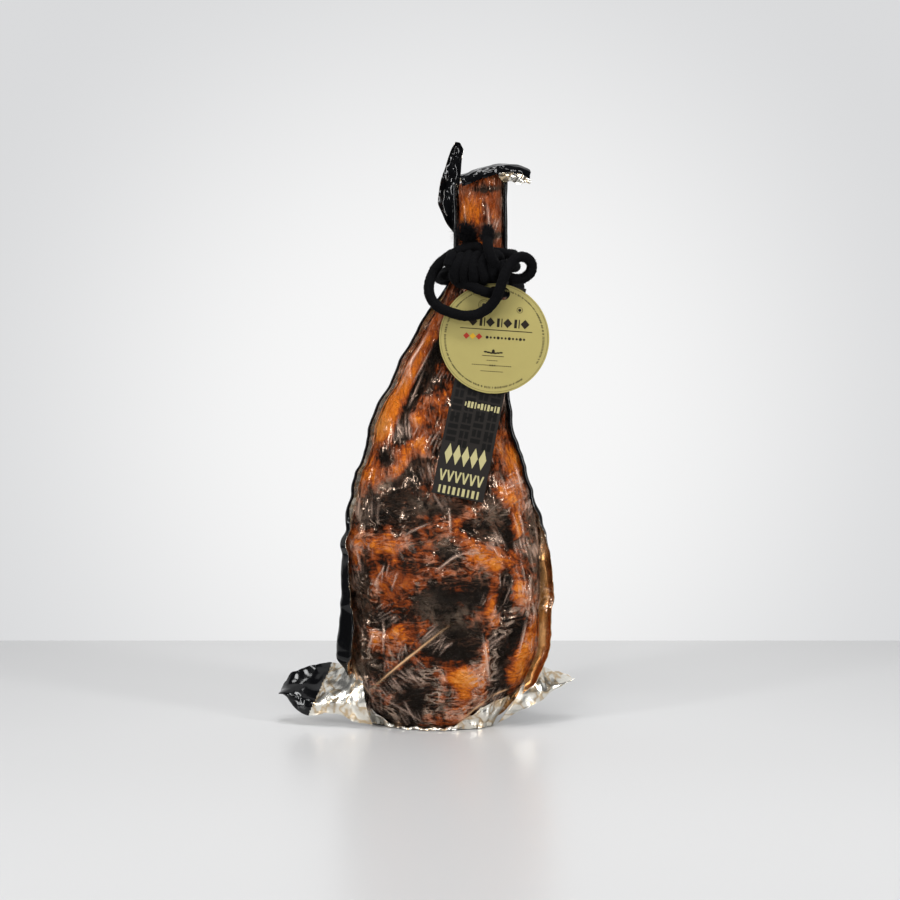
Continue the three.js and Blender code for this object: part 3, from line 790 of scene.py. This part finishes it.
class HAM_OT_front_film(bpy.types.Operator):
    """Draws the clear film over the front of the ham, with its creases and its side of the seals"""

    bl_idname = "ham.front_film"
    bl_label = "Front film"

    def execute(self, context):
        look = settings("pouch")
        sheet = DrawnSheet(436, 200, True)
        drawn = long_creases()
        short = sheet.creased(random_creases(look.creases, look.seed), -0.02)
        short *= 1 - sheet.creased([(*drawn[0][:4], 9 * MM, 1)])
        long, gold_highlight_creases = sheet.creased(drawn[GOLD_HIGHLIGHTED:]), sheet.creased(drawn[:GOLD_HIGHLIGHTED])
        stand = np.maximum(np.maximum(short, long), gold_highlight_creases) + 0.0004
        stand += np.abs(noise_at(sheet.flat, 0.012, 2.2, 2)) * 0.0010
        grid = sheet.with_seals(stand, -1, 0.0007)
        piece = grid_piece("front_film", grid)
        self.paint(piece, grid, sheet.heights, short, long, gold_highlight_creases)
        piece.data.materials.append(film_material())
        hand_over(piece, "clear_film", "pouch_front_film")
        return {"FINISHED"}

    def paint(self, piece, grid, heights, short, long, gold_highlight_creases):
        """Painted highlights in pale pink and gold on the creases, stained seals and a silvery stretch of the
        left seal.
        """
        seal = (grid.shape[1] - short.shape[1]) // 2
        gold, highlight_mask, stain, silver = np.zeros((4, *grid.shape[:2]), np.float32)
        # Painted golden highlight along the golden creases.
        gold[:, seal:-seal] = np.clip(gold_highlight_creases / (1.6 * MM), 0, 1) ** 1.5
        # Painted highlight on the short creases and on the long ones that aren't golden.
        highlight_mask[:, seal:-seal] = np.clip(np.maximum(short, 0.8 * long) / MM, 0, 1) ** 1.5
        silver[:, 4:8] = band(0.345, 0.45, heights, 0.02)[:, None] * np.array([0.9, 1.0, 0.7, 0.3])
        stain[:, -seal:] = (0.15 + 0.8 * (1 - smoothstep(0.19, 0.23, heights)))[:, None]
        stain[:, :seal] = (1 - smoothstep(0.19, 0.25, heights))[:, None]
        for name, values in (("gold_highlight_creases", gold), ("painted_highlight", highlight_mask), ("stain", stain), ("silver", silver)):
            add_attribute(piece, name, values)


class HAM_OT_back_sheet(bpy.types.Operator):
    """Draws the black laminate round the back of the ham, with its side of the seals"""

    bl_idname = "ham.back_sheet"
    bl_label = "Back sheet"

    def execute(self, context):
        look = settings("pouch")
        sheet = DrawnSheet(262, 128, False)
        stand = sheet.creased(random_creases(70, look.seed + 1), -0.02)
        stand += np.abs(noise_at(sheet.flat, 0.016, 6.2, 2)) * 0.0014
        grid = sheet.with_seals(stand, 0, 0.0003)
        piece = grid_piece("back_sheet", grid)
        piece.data.materials.append(laminate_material())
        piece.data.materials.append(metallised_material())
        thicken(piece, look.thickness, back_material=True)
        hand_over(piece, "black_laminate", "pouch_back_sheet")
        return {"FINISHED"}


# ---------------------------------------------------------------- the loose corners of the pouch
def add_laminate(piece):
    """Black outside, metallised inside, and black again behind the metallised face."""
    black, metallised = bpy.data.objects["back_sheet"].data.materials[:2]
    for material in (black, metallised, black):
        piece.data.materials.append(material)


def crumple(points, size, depth, seed):
    """Flat facets with sharp folds between them, as a push along each axis at each point."""
    push = np.zeros_like(points)
    draw = random.Random(seed)
    for scale, weight in ((1.0, 1.0), (0.5, 0.4), (0.27, 0.12)):
        for _ in range(3):
            across = any_way(draw).normalized()
            push_way = Vector((draw.gauss(0, 0.6), draw.gauss(0, 1), draw.gauss(0, 0.6))).normalized()
            along = points @ np.array(across) / (size * scale)
            along = along + 0.55 * noise_at(points, size * 1.6 * scale, draw.uniform(0, 9), 1) + draw.random()
            fold = np.abs(2 * (along - np.floor(along + 0.5))) - 0.5
            push += fold[..., None] * np.array(push_way) * depth * weight
    return push


def patch(low, high, rows, columns, bulge):
    """A sheet between two given lines, bulging between them. Rows run from low to high."""
    low, high = np.array(low) * MM, np.array(high) * MM
    share = np.linspace(0, 1, columns)
    at = np.linspace(0, 1, len(low))

    def smooth_line(points):
        fine = np.stack([np.interp(np.linspace(0, 1, 240), at, points[:, k]) for k in range(3)], 1)
        for _ in range(60):
            fine[1:-1] = (fine[:-2] + 2 * fine[1:-1] + fine[2:]) / 4
        return np.stack([np.interp(share, np.linspace(0, 1, 240), fine[:, k]) for k in range(3)], 1)

    lower, upper = smooth_line(low), smooth_line(high)
    up = np.linspace(0, 1, rows)[:, None, None]
    return lower * (1 - up) + upper * up + np.sin(math.pi * up) * np.array(bulge) * MM


def finish_fold(piece, angle):
    """Gives a loose part of the laminate its thickness and hands it over."""
    thicken(piece, settings("pouch").thickness, back_material=True)
    hand_over(piece, "black_laminate", smooth_angle=angle)


def pouch_corner(name, low, high, bulge, size, depth, seed, shows_inside, rows=44, columns=64, turned=False):
    """One loose corner: a patch, crumpled. shows_inside(across, up) says where its metallised face shows.

    A turned one has its lines set from the right to the left.
    """
    grid = patch(low, high, rows, columns, bulge)
    across, up = np.meshgrid(np.linspace(0, 1, columns), np.linspace(0, 1, rows))
    push = crumple(grid, size, depth, seed)
    grid = grid + push * (0.35 + 0.65 * smoothstep(0, 0.2, across))[..., None]
    grid[..., 2] = np.maximum(grid[..., 2], 0.0006)
    if turned:
        grid, across = grid[:, ::-1], across[:, ::-1]
    piece = grid_piece(name, grid)
    add_laminate(piece)
    for face in piece.data.polygons:
        row, column = divmod(face.index, columns - 1)
        face.material_index = 1 if shows_inside(across[row, column], up[row, column]) else 0
    finish_fold(piece, 28)


class HAM_OT_corners(bpy.types.Operator):
    """Crumples the four loose corners: two on the floor and two at the shank"""

    bl_idname = "ham.corners"
    bl_label = "Pouch corners"

    def execute(self, context):
        pouch_corner(
            "left_foot_corner",
            [(-58, -44, 5), (-80, -40, 9), (-96, -38, 14), (-112, -36, 18), (-126, -30, 13),
             (-136, -28, 15), (-150, -22, 23), (-164, -8, 33)],
            [(-70, -34, 60), (-84, -16, 70), (-98, 0, 67), (-110, 8, 64), (-124, 12, 59), (-140, 12, 57),
             (-155, 8, 54), (-166, 2, 36)],
            (-2, -12, 0), 0.040, 0.0042, 21,
            lambda across, up: across < 0.66 - 0.27 * up, turned=True)
        pouch_corner(
            "right_foot_corner",
            [(84, -38, 6), (104, -36, 18), (122, -30, 25), (136, -22, 30), (150, -12, 37), (164, 6, 46)],
            [(120, -20, 70), (124, -10, 68), (134, 0, 64), (145, 8, 58), (156, 12, 53), (166, 10, 48)],
            (4, -8, 0), 0.036, 0.0042, 5,
            lambda across, up: True)
        pouch_corner(
            "left_ear",
            [(34, -3, 556), (22, -8, 572), (15.5, -9, 592), (18, -7, 616), (26, -4, 638), (30, -2, 650),
             (35, -1, 658.5)],
            [(38, -4, 556), (38, -6, 572), (38, -8, 592), (41, -8, 616), (43, -6, 638), (43.5, -3, 650),
             (41, -1, 657.5)],
            (0, 5, 0), 0.018, 0.0014, 11,
            lambda across, up: False, rows=26, turned=True)
        self.right_ear()
        pouch_corner(
            "right_ear_hem",
            [(84, -24, 617), (91, -24, 613), (98, -23, 615), (105, -19, 610.5), (112, -15, 613),
             (119, -11, 611)],
            [(82, -26, 624), (91, -25, 624), (98, -24, 624), (105, -20, 622.5), (112, -16, 620),
             (119, -11.5, 617)],
            (0, -1, 0), 0.008, 0.0014, 3,
            lambda across, up: True, rows=14, columns=40)
        return {"FINISHED"}

    def right_ear(self):
        """The sheet's top, folded forward over the sawn end, with a tongue to the right."""
        back = [(38, 18, 614), (52, 21, 618), (66, 22, 622), (80, 20, 625), (92, 16, 626), (106, 10, 624),
                (118, 4, 619)]
        edge = [(41, -24, 617), (53, -26, 623), (66, -26, 628), (80, -25, 631), (93, -22, 631.5),
                (107, -17, 630), (119, -10, 625)]
        lip = [(42, -26, 608), (54, -28, 613), (67, -28, 618), (80, -27, 622), (93, -24, 623),
               (107, -18, 622), (118, -10, 616)]
        roof = patch(back, edge, 26, 70, (0, 0, 5))
        drop = patch(edge, lip, 12, 70, (0, -1.5, 0))
        grid = np.concatenate([roof, drop[1:]], 0)[::-1]
        grid = grid + crumple(grid, 0.014, 0.0011, 15)
        piece = grid_piece("right_ear", grid)
        add_laminate(piece)
        finish_fold(piece, 40)


class HAM_OT_foot(bpy.types.Operator):
    """Spreads the pouch's sealed foot under the ham, with its crumpled hem round the base"""

    bl_idname = "ham.foot"
    bl_label = "Pouch foot"

    def execute(self, context):
        look = settings("pouch")
        skin = Skin(bpy.data.objects["cured_ham"], look.gap)
        turns, rings = 260, 34
        angle = np.linspace(0, 2 * math.pi, turns)
        degrees = np.degrees(angle)
        front = band(10, 170, degrees, 12)
        right_side = np.exp(-((degrees - 28) / 24) ** 2)
        left_side = np.exp(-((degrees - 164) / 12) ** 2)
        ragged = wander(degrees, 9, 1.0) + 0.6 * wander(degrees, 3.5, 2.0)
        ragged = ragged * smoothstep(0, 12, degrees) * (1 - smoothstep(348, 360, degrees))
        hem = (0.003 + 0.012 * right_side + 0.012 * left_side) * (1 + 0.22 * ragged)
        rise = (0.0010 + 0.032 * right_side + 0.044 * left_side) * (1 + 0.22 * ragged)
        on_floor, just_over_it = 0.0006, 0.0009
        foot = skin.at(HAM_LOW.z + rise, angle, 0.0022)
        floor = skin.at(HAM_LOW.z + 0.004, angle, hem)
        floor[:, 2] = on_floor
        tip = floor + (floor - foot) * 0.35
        tip[:, 2] = just_over_it
        inner = floor * np.array([0.94, 0.94, 1])
        middle = np.array([np.mean(floor[:, 0]), np.mean(floor[:, 1]), on_floor])
        profile = [(middle + (inner - middle) * s) for s in np.linspace(0.02, 1, 8)]
        profile += [inner + (tip - inner) * s for s in np.linspace(0.2, 1, 6)]
        profile += [tip + (foot - tip) * s + np.array([0, 0, 1.6 * MM]) * math.sin(math.pi * s)
                    for s in np.linspace(0.06, 1, rings - 14)]
        grid = np.stack(profile, 0)
        loose = smoothstep(8, 16, np.arange(rings))[:, None, None]
        push = crumple(grid, 0.015, 0.0026, 33)
        push[:, -1] = push[:, 0]
        grid = grid + push * loose * (0.3 + 0.7 * front)[None, :, None]
        grid[..., 2] = np.maximum(grid[..., 2], 0.0005)
        piece = grid_piece("pouch_foot", grid[:, ::-1])
        add_laminate(piece)
        columns = turns - 1
        shown = front[::-1]
        for face in piece.data.polygons:
            row, column = divmod(face.index, columns)
            face.material_index = 1 if row > 9 and shown[column] > 0.5 else 0
        modify(piece, "WELD", merge_threshold=0.00005)
        thicken(piece, look.thickness, back_material=True)
        hand_over(piece, "black_laminate", smooth_angle=35)
        return {"FINISHED"}


# ---------------------------------------------------------------- the cord
# Its route, as the part's own: millimetres, one cut end to the other.
FIRST_END = [(47, -38, 560), (50, -39, 549), (60, -38, 541), (78, -32, 536)]
TURNS = {"middle": 63.5, "from": 74, "to": 722, "top": 533, "pitch": 13.2, "out": (36.6, 32),
         "widen": (0.17, 0.04)}
THROUGH_THE_CARDS = [
    (37, -37, 505), (50, -48.6, 500), (62, -53.5, 495), (73, -50, 491.5), (83, -41, 491), (92, -30, 492.5),
    (103, -15, 495), (107, 3, 497), (98, 25, 498), (76, 37, 499), (48, 37, 501), (26, 26, 503),
    (17, 4, 506),
]
KNOT = [
    (21, -21, 509), (36, -38, 511), (52, -47, 514), (66, -48.5, 521), (69, -47.5, 532), (60, -46, 541),
    (46, -45, 540), (31, -43, 533),
]
LEFT_LOOP = [
    (17, -41, 523), (8, -43, 508), (6, -48, 492), (13, -52, 479), (29, -54.5, 470.5), (49, -55.5, 466.5),
    (66, -56, 471.5), (78, -57, 483), (84, -59, 497), (89, -59, 511),
]
RIGHT_LOOP = [
    (96, -54, 524), (106, -48, 531), (116, -43, 528), (119.5, -40, 518.5), (114, -39, 509.5),
    (102, -41, 506.5), (91, -44.5, 511),
]
LAST_END = [(82, -52, 520), (75, -60, 529), (71, -58, 542), (70, -50, 552), (71, -42, 561)]


# The knot's hidden turns, wound round the strands in front of the shank.
KNOT_TURNS = [Vector((27 + 1.9 * i + 3 * math.sin(2.3 * i), -44 - 9.5 * math.cos(1.2 * i),
                      520 + (15 - 0.2 * abs(i - 15) + 1.5 * math.sin(1.7 * i)) * math.sin(1.2 * i))) * MM
              for i in range(33)]


def turns_round_the_shank():
    points = []
    for angle in range(TURNS["from"], TURNS["to"] + 1, 24):
        dropped = TURNS["pitch"] * (angle - TURNS["from"]) / 360
        wide, deep = (out + dropped * widen for out, widen in zip(TURNS["out"], TURNS["widen"]))
        turn = math.radians(angle)
        across = TURNS["middle"] + wide * math.sin(turn)
        points.append((across, -deep * math.cos(turn), TURNS["top"] - dropped))
    return points


def cord_route():
    route = FIRST_END + turns_round_the_shank() + THROUGH_THE_CARDS + KNOT + LEFT_LOOP + RIGHT_LOOP + LAST_END
    return [Vector(p) * MM for p in route]


class HAM_OT_cord(bpy.types.Operator):
    """Winds and knots the velvet cord, and raises its pile"""

    bl_idname = "ham.cord"
    bl_label = "Velvet cord"

    def execute(self, context):
        look = settings("cord")
        core = self.tube("velvet_cord_core", cord_route(), look.diameter * 0.48)
        path = self.centreline()
        velvet = velvet_material()
        core.data.materials.append(velvet)
        pile = self.pile(core, look)
        pile.data.materials.append(velvet)
        knot = self.tube("velvet_cord_knot", KNOT_TURNS, look.diameter * 0.52)
        knot.data.materials.append(velvet)
        hand_over(knot, "velvet")
        hand_over(pile, "velvet")
        hand_over(core, "velvet", "velvet_cord")
        return {"FINISHED"}

    def curve(self, route):
        """A smooth curve through the points of a route."""
        deselect()
        bpy.ops.curve.primitive_bezier_curve_add()
        curve = bpy.context.object
        spline = curve.data.splines[0]
        spline.bezier_points.add(len(route) - 2)
        for knot, point in zip(spline.bezier_points, route):
            knot.co = point
            knot.handle_left_type = knot.handle_right_type = "AUTO"
        curve.data.resolution_u = 8
        return curve

    def centreline(self):
        make_active(self.curve(cord_route()))
        bpy.ops.object.convert(target="MESH")
        path = [v.co.copy() for v in bpy.context.object.data.vertices]
        bpy.ops.object.delete()
        return path

    def tube(self, name, route, radius):
        cord = self.curve(route)
        cord.data.bevel_depth = radius
        cord.data.bevel_resolution = 4
        cord.data.use_fill_caps = True
        make_active(cord)
        bpy.ops.object.convert(target="MESH")
        cord = bpy.context.object
        cord.name = cord.data.name = name
        fluff = bpy.data.textures.new("cord_fluff", "CLOUDS")
        fluff.noise_scale = 0.0022
        modify(cord, "WELD", merge_threshold=0.00001)
        modify(cord, "SUBSURF", levels=1, render_levels=1)
        modify(cord, "DISPLACE", texture=fluff, strength=0.0014, mid_level=0.35)
        return cord

    def pile(self, core, look):
        """Short fibres all over the cord, and long ones at its two cut ends."""
        draw = random.Random(3)
        points, normals = points_of(core), normals_of(core)
        route = cord_route()
        vertices, faces = [], []

        def fibre(root, way, tall, wide):
            side = way.cross(any_way(draw)).normalized() * wide
            other = way.cross(side).normalized() * wide
            bend = any_way(draw) * tall * 0.12
            start = len(vertices)
            vertices.extend([root + side, root - side * 0.5 + other * 0.87, root - side * 0.5 - other * 0.87,
                             root + way * tall + bend])
            faces.extend([(start, start + 1, start + 3), (start + 1, start + 2, start + 3),
                          (start + 2, start, start + 3), (start + 2, start + 1, start)])

        for _ in range(look.pile):
            i = draw.randrange(len(points))
            way = (Vector(normals[i]) + 0.6 * any_way(draw)).normalized()
            fibre(Vector(points[i]), way, draw.uniform(0.0006, 0.0017), 0.00013)
        for end, inside, long in ((route[0], route[1], 2.6), (route[-1], route[-2], 1.2)):
            out = (end - inside).normalized()
            for _ in range(1800):
                root = end - out * draw.uniform(0, 0.016)
                way = (out * draw.uniform(0, 1.2) + any_way(draw)).normalized()
                fibre(root + way * 0.003, way, long * draw.uniform(0.003, 0.0068), 0.0003)
        deselect()
        bpy.ops.mesh.primitive_plane_add(size=0.01)
        piece = bpy.context.object
        piece.name = piece.data.name = "velvet_pile"
        piece.data.clear_geometry()
        piece.data.from_pydata([tuple(v) for v in vertices], [], faces)
        return piece


# ---------------------------------------------------------------- the cards
CARD_CENTRE = Vector((78, -45.5, 441)) * MM
CARD_LEAN, CARD_TURN = math.radians(4), math.radians(-4)
CARD_FACE = 0.6 * MM
STRIP_SLOT = Vector((83, 0, 491)) * MM
STRIP_TILT = math.radians(11.5)
INK = 0.00008


class Print:
    """Flat shapes of ink on a card, drawn in the card's own millimetres."""

    def __init__(self, name):
        deselect()
        bpy.ops.mesh.primitive_plane_add(size=0.001)
        self.piece = bpy.context.object
        self.piece.name = self.piece.data.name = name
        bpy.ops.object.mode_set(mode="EDIT")
        bpy.ops.mesh.select_all(action="SELECT")
        bpy.ops.mesh.delete(type="VERT")

    def bar(self, across, up, wide, tall, turn=0.0):
        middle = (across * MM, up * MM, 0)
        bpy.ops.mesh.primitive_plane_add(size=MM, location=middle)
        bpy.ops.transform.resize(value=(wide, tall, 1), center_override=middle)
        if turn:
            bpy.ops.transform.rotate(value=turn, orient_axis="Z", center_override=middle)

    def dot(self, across, up, radius, sides=16, turn=0.0, tall=1.0):
        bpy.ops.mesh.primitive_circle_add(vertices=sides, radius=radius * MM, fill_type="NGON",
                                          location=(across * MM, up * MM, 0), rotation=(0, 0, turn))
        if tall != 1.0:
            bpy.ops.transform.resize(value=(1, tall, 1), center_override=(across * MM, up * MM, 0))

    def ring(self, across, up, radius, width, sides=64):
        bpy.ops.mesh.primitive_circle_add(vertices=sides, radius=radius * MM, fill_type="NGON",
                                          location=(across * MM, up * MM, 0))
        bpy.ops.mesh.inset(thickness=width * MM)
        bpy.ops.mesh.delete(type="FACE")

    def lay(self, place, material, slot, lift=INK):
        """Puts the shapes on the card. place(points, lift) gives each point's place, lift above its face."""
        bpy.ops.object.mode_set(mode="OBJECT")
        flat = points_of(self.piece)
        move_points(self.piece, place(flat, lift))
        thicken(self.piece, INK)
        self.piece.data.materials.append(material)
        hand_over(self.piece, slot, smooth_angle=20)


def on_round_card(flat, lift):
    turn = Euler((math.pi / 2 - CARD_LEAN, 0, 0)).to_matrix().to_4x4() @ Matrix.Rotation(CARD_TURN, 4, "Z")
    matrix = np.array(Matrix.Translation(CARD_CENTRE) @ turn)
    raised = np.column_stack([flat[:, :2], np.full(len(flat), CARD_FACE + lift), np.ones(len(flat))])
    return (raised @ matrix.T)[:, :3]


def on_strip_card(flat, lift):
    """Across the strip and down it from its slot, laid on its bent face."""
    strip = BVHTree.FromObject(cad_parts["strip_card"], bpy.context.evaluated_depsgraph_get())
    placed = []
    for across, up in flat[:, :2]:
        x = STRIP_SLOT.x + up * math.sin(STRIP_TILT) + across * math.cos(STRIP_TILT)
        z = STRIP_SLOT.z + up * math.cos(STRIP_TILT) - across * math.sin(STRIP_TILT)
        hit = strip.ray_cast(Vector((x, -1, z)), Vector((0, 1, 0)))[0]
        placed.append((x, (hit.y if hit else -0.0408) - lift, z))
    return np.array(placed)


def finish_card(name, material):
    """Gives a card of the part its finish."""
    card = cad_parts[name]
    card.data.materials.clear()
    card.data.materials.append(material)


class HAM_OT_round_card(bpy.types.Operator):
    """Finishes the round card and prints its plain rings, rules and ornament"""

    bl_idname = "ham.round_card"
    bl_label = "Round card"

    def execute(self, context):
        look = settings("cards")
        finish_card("round_card", card_material("cream_card", tuple(look.cream), 0.42, 0.05))
        brown = card_material("brown_ink", (0.016, 0.011, 0.006), 0.5)
        olive = card_material("olive_ink", (0.13, 0.11, 0.04), 0.5)
        rust = card_material("rust_ink", (0.42, 0.035, 0.02), 0.5)
        ochre = card_material("ochre_ink", (0.72, 0.42, 0.03), 0.5)
        self.rim().lay(on_round_card, olive, "cream_card")
        self.heading().lay(on_round_card, brown, "cream_card")
        self.marks(-31, -17).lay(on_round_card, rust, "cream_card")
        self.marks(-24).lay(on_round_card, ochre, "cream_card")
        self.fine_rules().lay(on_round_card, brown, "cream_card")
        return {"FINISHED"}

    def rim(self):
        ink = Print("round_card_rim_print")
        draw = random.Random(12)
        ink.ring(0, 0, 59.4, 0.35, 96)
        angle = -0.30
        while angle < 2 * math.pi - 0.75:
            wide = draw.choice((0.8, 1.0, 1.3, 1.7))
            at = angle + wide / 2 / 54.5
            place = (54.5 * math.cos(-at - 1.2), 54.5 * math.sin(-at - 1.2))
            ink.bar(*place, wide, 2.3, -at - 1.2 + math.pi / 2)
            angle += (wide + draw.choice((0.7, 0.7, 0.7, 2.0))) / 54.5
        return ink

    def heading(self):
        """A row of lozenges and bars over a thin rule."""
        ink = Print("round_card_heading_print")
        for i in range(7):
            across = -25.5 + 9.6 * i
            if i % 2:
                ink.bar(across, 17.6, 3.0, 9.6)
                ink.bar(across + 3.9, 17.6, 1.2, 9.6)
            else:
                ink.dot(across + 0.8, 17.6, 5.0, 4, 0, 1.06)
        ink.bar(1.5, 9.4, 80, 0.9)
        return ink

    def marks(self, *places):
        ink = Print("round_card_mark_print")
        for across in places:
            ink.dot(across, 1, 3.6, 4)
        return ink

    def fine_rules(self):
        """Thin rules, dots and a small sprig in the lower half, and two little rosettes above."""
        ink = Print("round_card_rule_print")
        for i in range(11):
            ink.dot(-8 + 4.1 * i, 0.8, 1.25 if i % 3 else 1.7, 12)
        ink.bar(0, -19.5, 24, 0.7)
        for side in (-1, 1):
            for i in range(3):
                ink.dot(side * (2.2 + 3.2 * i), -16.3 + 0.5 * i, 2.1, 12, side * 0.9, 0.45)
        ink.dot(0, -14.6, 1.7, 12, 0, 1.5)
        for up, wide in ((-24.6, 14), (-30.0, 46), (-36.6, 26)):
            for i in range(int(wide / 2.1)):
                if abs(up + 30.0) > 0.1 or abs(-wide / 2 + 2.1 * i + 1) > 4.5:
                    ink.bar(-wide / 2 + 2.1 * i + 1, up, 1.3, 0.8)
        for i in range(3):
            ink.dot(-2.6 + 2.6 * i, -30.0, 0.95, 12)
        ink.ring(-14, 36, 6.2, 0.5, 40)
        ink.ring(-14, 36, 4.6, 0.35, 32)
        ink.dot(-14, 36, 2.4, 6)
        ink.ring(26, 33, 3.4, 0.5, 28)
        ink.dot(26, 33, 1.9, 6)
        return ink


class HAM_OT_strip_card(bpy.types.Operator):
    """Finishes the strip card, with its darker blocks and its rows of pale gold ornament"""

    bl_idname = "ham.strip_card"
    bl_label = "Strip card"

    def execute(self, context):
        look = settings("cards")
        finish_card("strip_card", card_material("dark_card", tuple(look.charcoal), 0.5, 0.12))
        black = card_material("black_ink", (0.003, 0.0025, 0.002), 0.4)
        gold = card_material("gold_ink", tuple(look.gold), 0.45, 0.06)
        self.blocks().lay(on_strip_card, black, "dark_card")
        self.ornament().lay(on_strip_card, gold, "dark_card", 3 * INK)
        return {"FINISHED"}

    def blocks(self):
        """Columns of dark bars, laid like basket work."""
        ink = Print("strip_card_block_print")
        draw = random.Random(8)
        for column, across in enumerate((-20.5, -6.8, 6.8, 20.5)):
            down = 96 + 3 * column
            while down < 168:
                tall = draw.choice((5.0, 8.0, 11.0))
                for part in (-1, 1) if tall > 6 else (0,):
                    ink.bar(across + 2.9 * part, -(down + tall / 2), 4.2 if part else 11, tall)
                if tall > 9:
                    ink.bar(across, -(down + tall / 2), 3.2, 2.2)
                down += tall + 2.2
        return ink

    def ornament(self):
        """A short bar, then lozenges, chevrons and small bars."""
        ink = Print("strip_card_gold_print")
        for i in range(11):
            ink.bar(-11.5 + 3.7 * i, -127, 2.6 if i % 3 else 1.4, 7.0 if i % 4 else 4.6)
        for i in range(5):
            ink.dot(-19.2 + 9.6 * i, -184.5, 4.3, 4, 0, 2.7)
        for i in range(6):
            across = -21 + 8.4 * i
            for side in (-1, 1):
                ink.bar(across + 1.55 * side, -208.5, 1.9, 12.6, side * 0.24)
        for i in range(9):
            ink.bar(-21.6 + 5.4 * i, -224, 3.2 if i % 2 else 2.2, 8.6)
        return ink


# ---------------------------------------------------------------- the stage
class HAM_OT_stage(bpy.types.Operator):
    """Sets the camera, the soft lights, the pale floor and the backdrop"""

    bl_idname = "ham.stage"
    bl_label = "Stage"

    def execute(self, context):
        self.camera()
        self.room()
        self.lights()
        context.scene.view_settings.view_transform = "Standard"
        return {"FINISHED"}

    def camera(self):
        look = settings("stage")
        target = Vector((0.029, 0, 0.312))
        back = Vector((0, -math.cos(look.elevation), math.sin(look.elevation)))
        bpy.ops.object.camera_add(location=target + back * look.distance)
        camera = bpy.context.object
        camera.rotation_mode = "QUATERNION"
        camera.rotation_quaternion = (-back).to_track_quat("-Z", "Y")
        camera.data.lens = 36 * look.distance / 1.0206
        bpy.context.scene.camera = camera

    def room(self):
        """A floor, and a lit wall that lets light and views through from behind."""
        n = Nodes("pale_floor")
        floor_look = n.finish(n.shader((0.60, 0.60, 0.60), 0.30, Specular_IOR_Level=0.4))
        n = Nodes("lit_backdrop")
        away = n.add("VectorMath", {0: n.coordinates(), 1: (0.03, 0.48, 0.30)}, "Value", operation="DISTANCE")
        glow = n.ramp(away, [(0.15, 0.93), (0.75, (0.70, 0.705, 0.715))], "EASE")
        lit, clear = n.add("Emission", {"Color": glow, "Strength": 1.0}), n.add("BsdfTransparent", {})
        behind = n.add("NewGeometry", {}, "Backfacing")
        wall_look = n.finish(n.add("MixShader", {0: behind, 1: lit, 2: clear}))
        half, wall_at, under = 0.68, 0.48, 0.0002
        for name, look, size, place, turn in (
                ("floor", floor_look, 2 * half, (0, wall_at - half, -under), 0),
                ("backdrop", wall_look, 3, (0, wall_at, 1.5 - under), math.pi / 2)):
            deselect()
            bpy.ops.mesh.primitive_plane_add(size=size, location=place, rotation=(turn, 0, 0))
            piece = bpy.context.object
            piece.name = name
            bpy.ops.object.transform_apply()
            piece.data.materials.append(look)

    def lights(self):
        def softbox(name, place, target, size, power, colour=(1, 1, 1)):
            bpy.ops.object.light_add(type="AREA", location=place)
            light = bpy.context.object
            light.name = name
            light.data.shape = "RECTANGLE"
            light.data.size, light.data.size_y = size
            light.data.energy = power
            light.data.color = colour
            light.rotation_mode = "QUATERNION"
            light.rotation_quaternion = (Vector(target) - Vector(place)).to_track_quat("-Z", "Y")

        softbox("left_softbox", (-1.25, -1.1, 0.75), (0, 0, 0.3), (0.20, 1.2), 13)
        softbox("right_softbox", (1.35, -0.9, 0.75), (0, 0, 0.3), (0.20, 1.2), 14)
        softbox("top_softbox", (0, -0.7, 1.7), (0, 0, 0.2), (1.1, 0.22), 11)
        softbox("front_softbox", (-0.5, -2.5, 1.5), (0, 0, 0.3), (0.3, 0.3), 10)
        softbox("floor_light", (0, -0.2, 2.6), (0, -0.3, 0), (0.5, 0.5), 16)
        world = bpy.context.scene.world or bpy.data.worlds.new("studio")
        bpy.context.scene.world = world
        world.use_nodes = True
        tree = world.node_tree
        tree.nodes["Background"].inputs[0].default_value = (0.85, 0.90, 1.0, 1)
        seen = tree.nodes.new("ShaderNodeLightPath").outputs["Is Camera Ray"]
        strength = tree.nodes.new("ShaderNodeMapRange")
        strength.inputs["To Min"].default_value = 0.06
        strength.inputs["To Max"].default_value = 0.75
        tree.links.new(seen, strength.inputs["Value"])
        tree.links.new(strength.outputs["Result"], tree.nodes["Background"].inputs[1])


# ---------------------------------------------------------------- panel and registration
OPERATORS = (HAM_OT_stage, HAM_OT_meat, HAM_OT_front_film, HAM_OT_back_sheet, HAM_OT_corners, HAM_OT_foot,
             HAM_OT_cord, HAM_OT_round_card, HAM_OT_strip_card)
SETTINGS = {"meat": HamMeatSettings, "pouch": HamPouchSettings, "cord": HamCordSettings,
            "cards": HamCardSettings, "stage": HamStageSettings}


class HAM_PT_panel(bpy.types.Panel):
    """Lists the settings and the pieces"""

    bl_idname = "HAM_PT_panel"
    bl_label = "Cured ham"
    bl_space_type = "VIEW_3D"
    bl_region_type = "UI"
    bl_category = "Ham"

    def draw(self, context):
        for name, group in SETTINGS.items():
            box = self.layout.box()
            box.label(text=name.title())
            for key in group.__annotations__:
                box.prop(getattr(context.scene, "ham_" + name), key)
        for operator in OPERATORS:
            self.layout.operator(operator.bl_idname)


def register():
    for group in (*SETTINGS.values(), *OPERATORS, HAM_PT_panel):
        bpy.utils.register_class(group)
    for name, group in SETTINGS.items():
        setattr(bpy.types.Scene, "ham_" + name, bpy.props.PointerProperty(type=group))


def unregister():
    for name in SETTINGS:
        delattr(bpy.types.Scene, "ham_" + name)
    for group in (HAM_PT_panel, *reversed(OPERATORS), *SETTINGS.values()):
        bpy.utils.unregister_class(group)


def main():
    register()
    deselect()
    for operator in OPERATORS:
        group, name = operator.bl_idname.split(".")
        result = getattr(getattr(bpy.ops, group), name)()
        if result != {"FINISHED"}:
            raise RuntimeError(operator.bl_label + " wasn't finished")


if __name__ == "__main__":
    main()
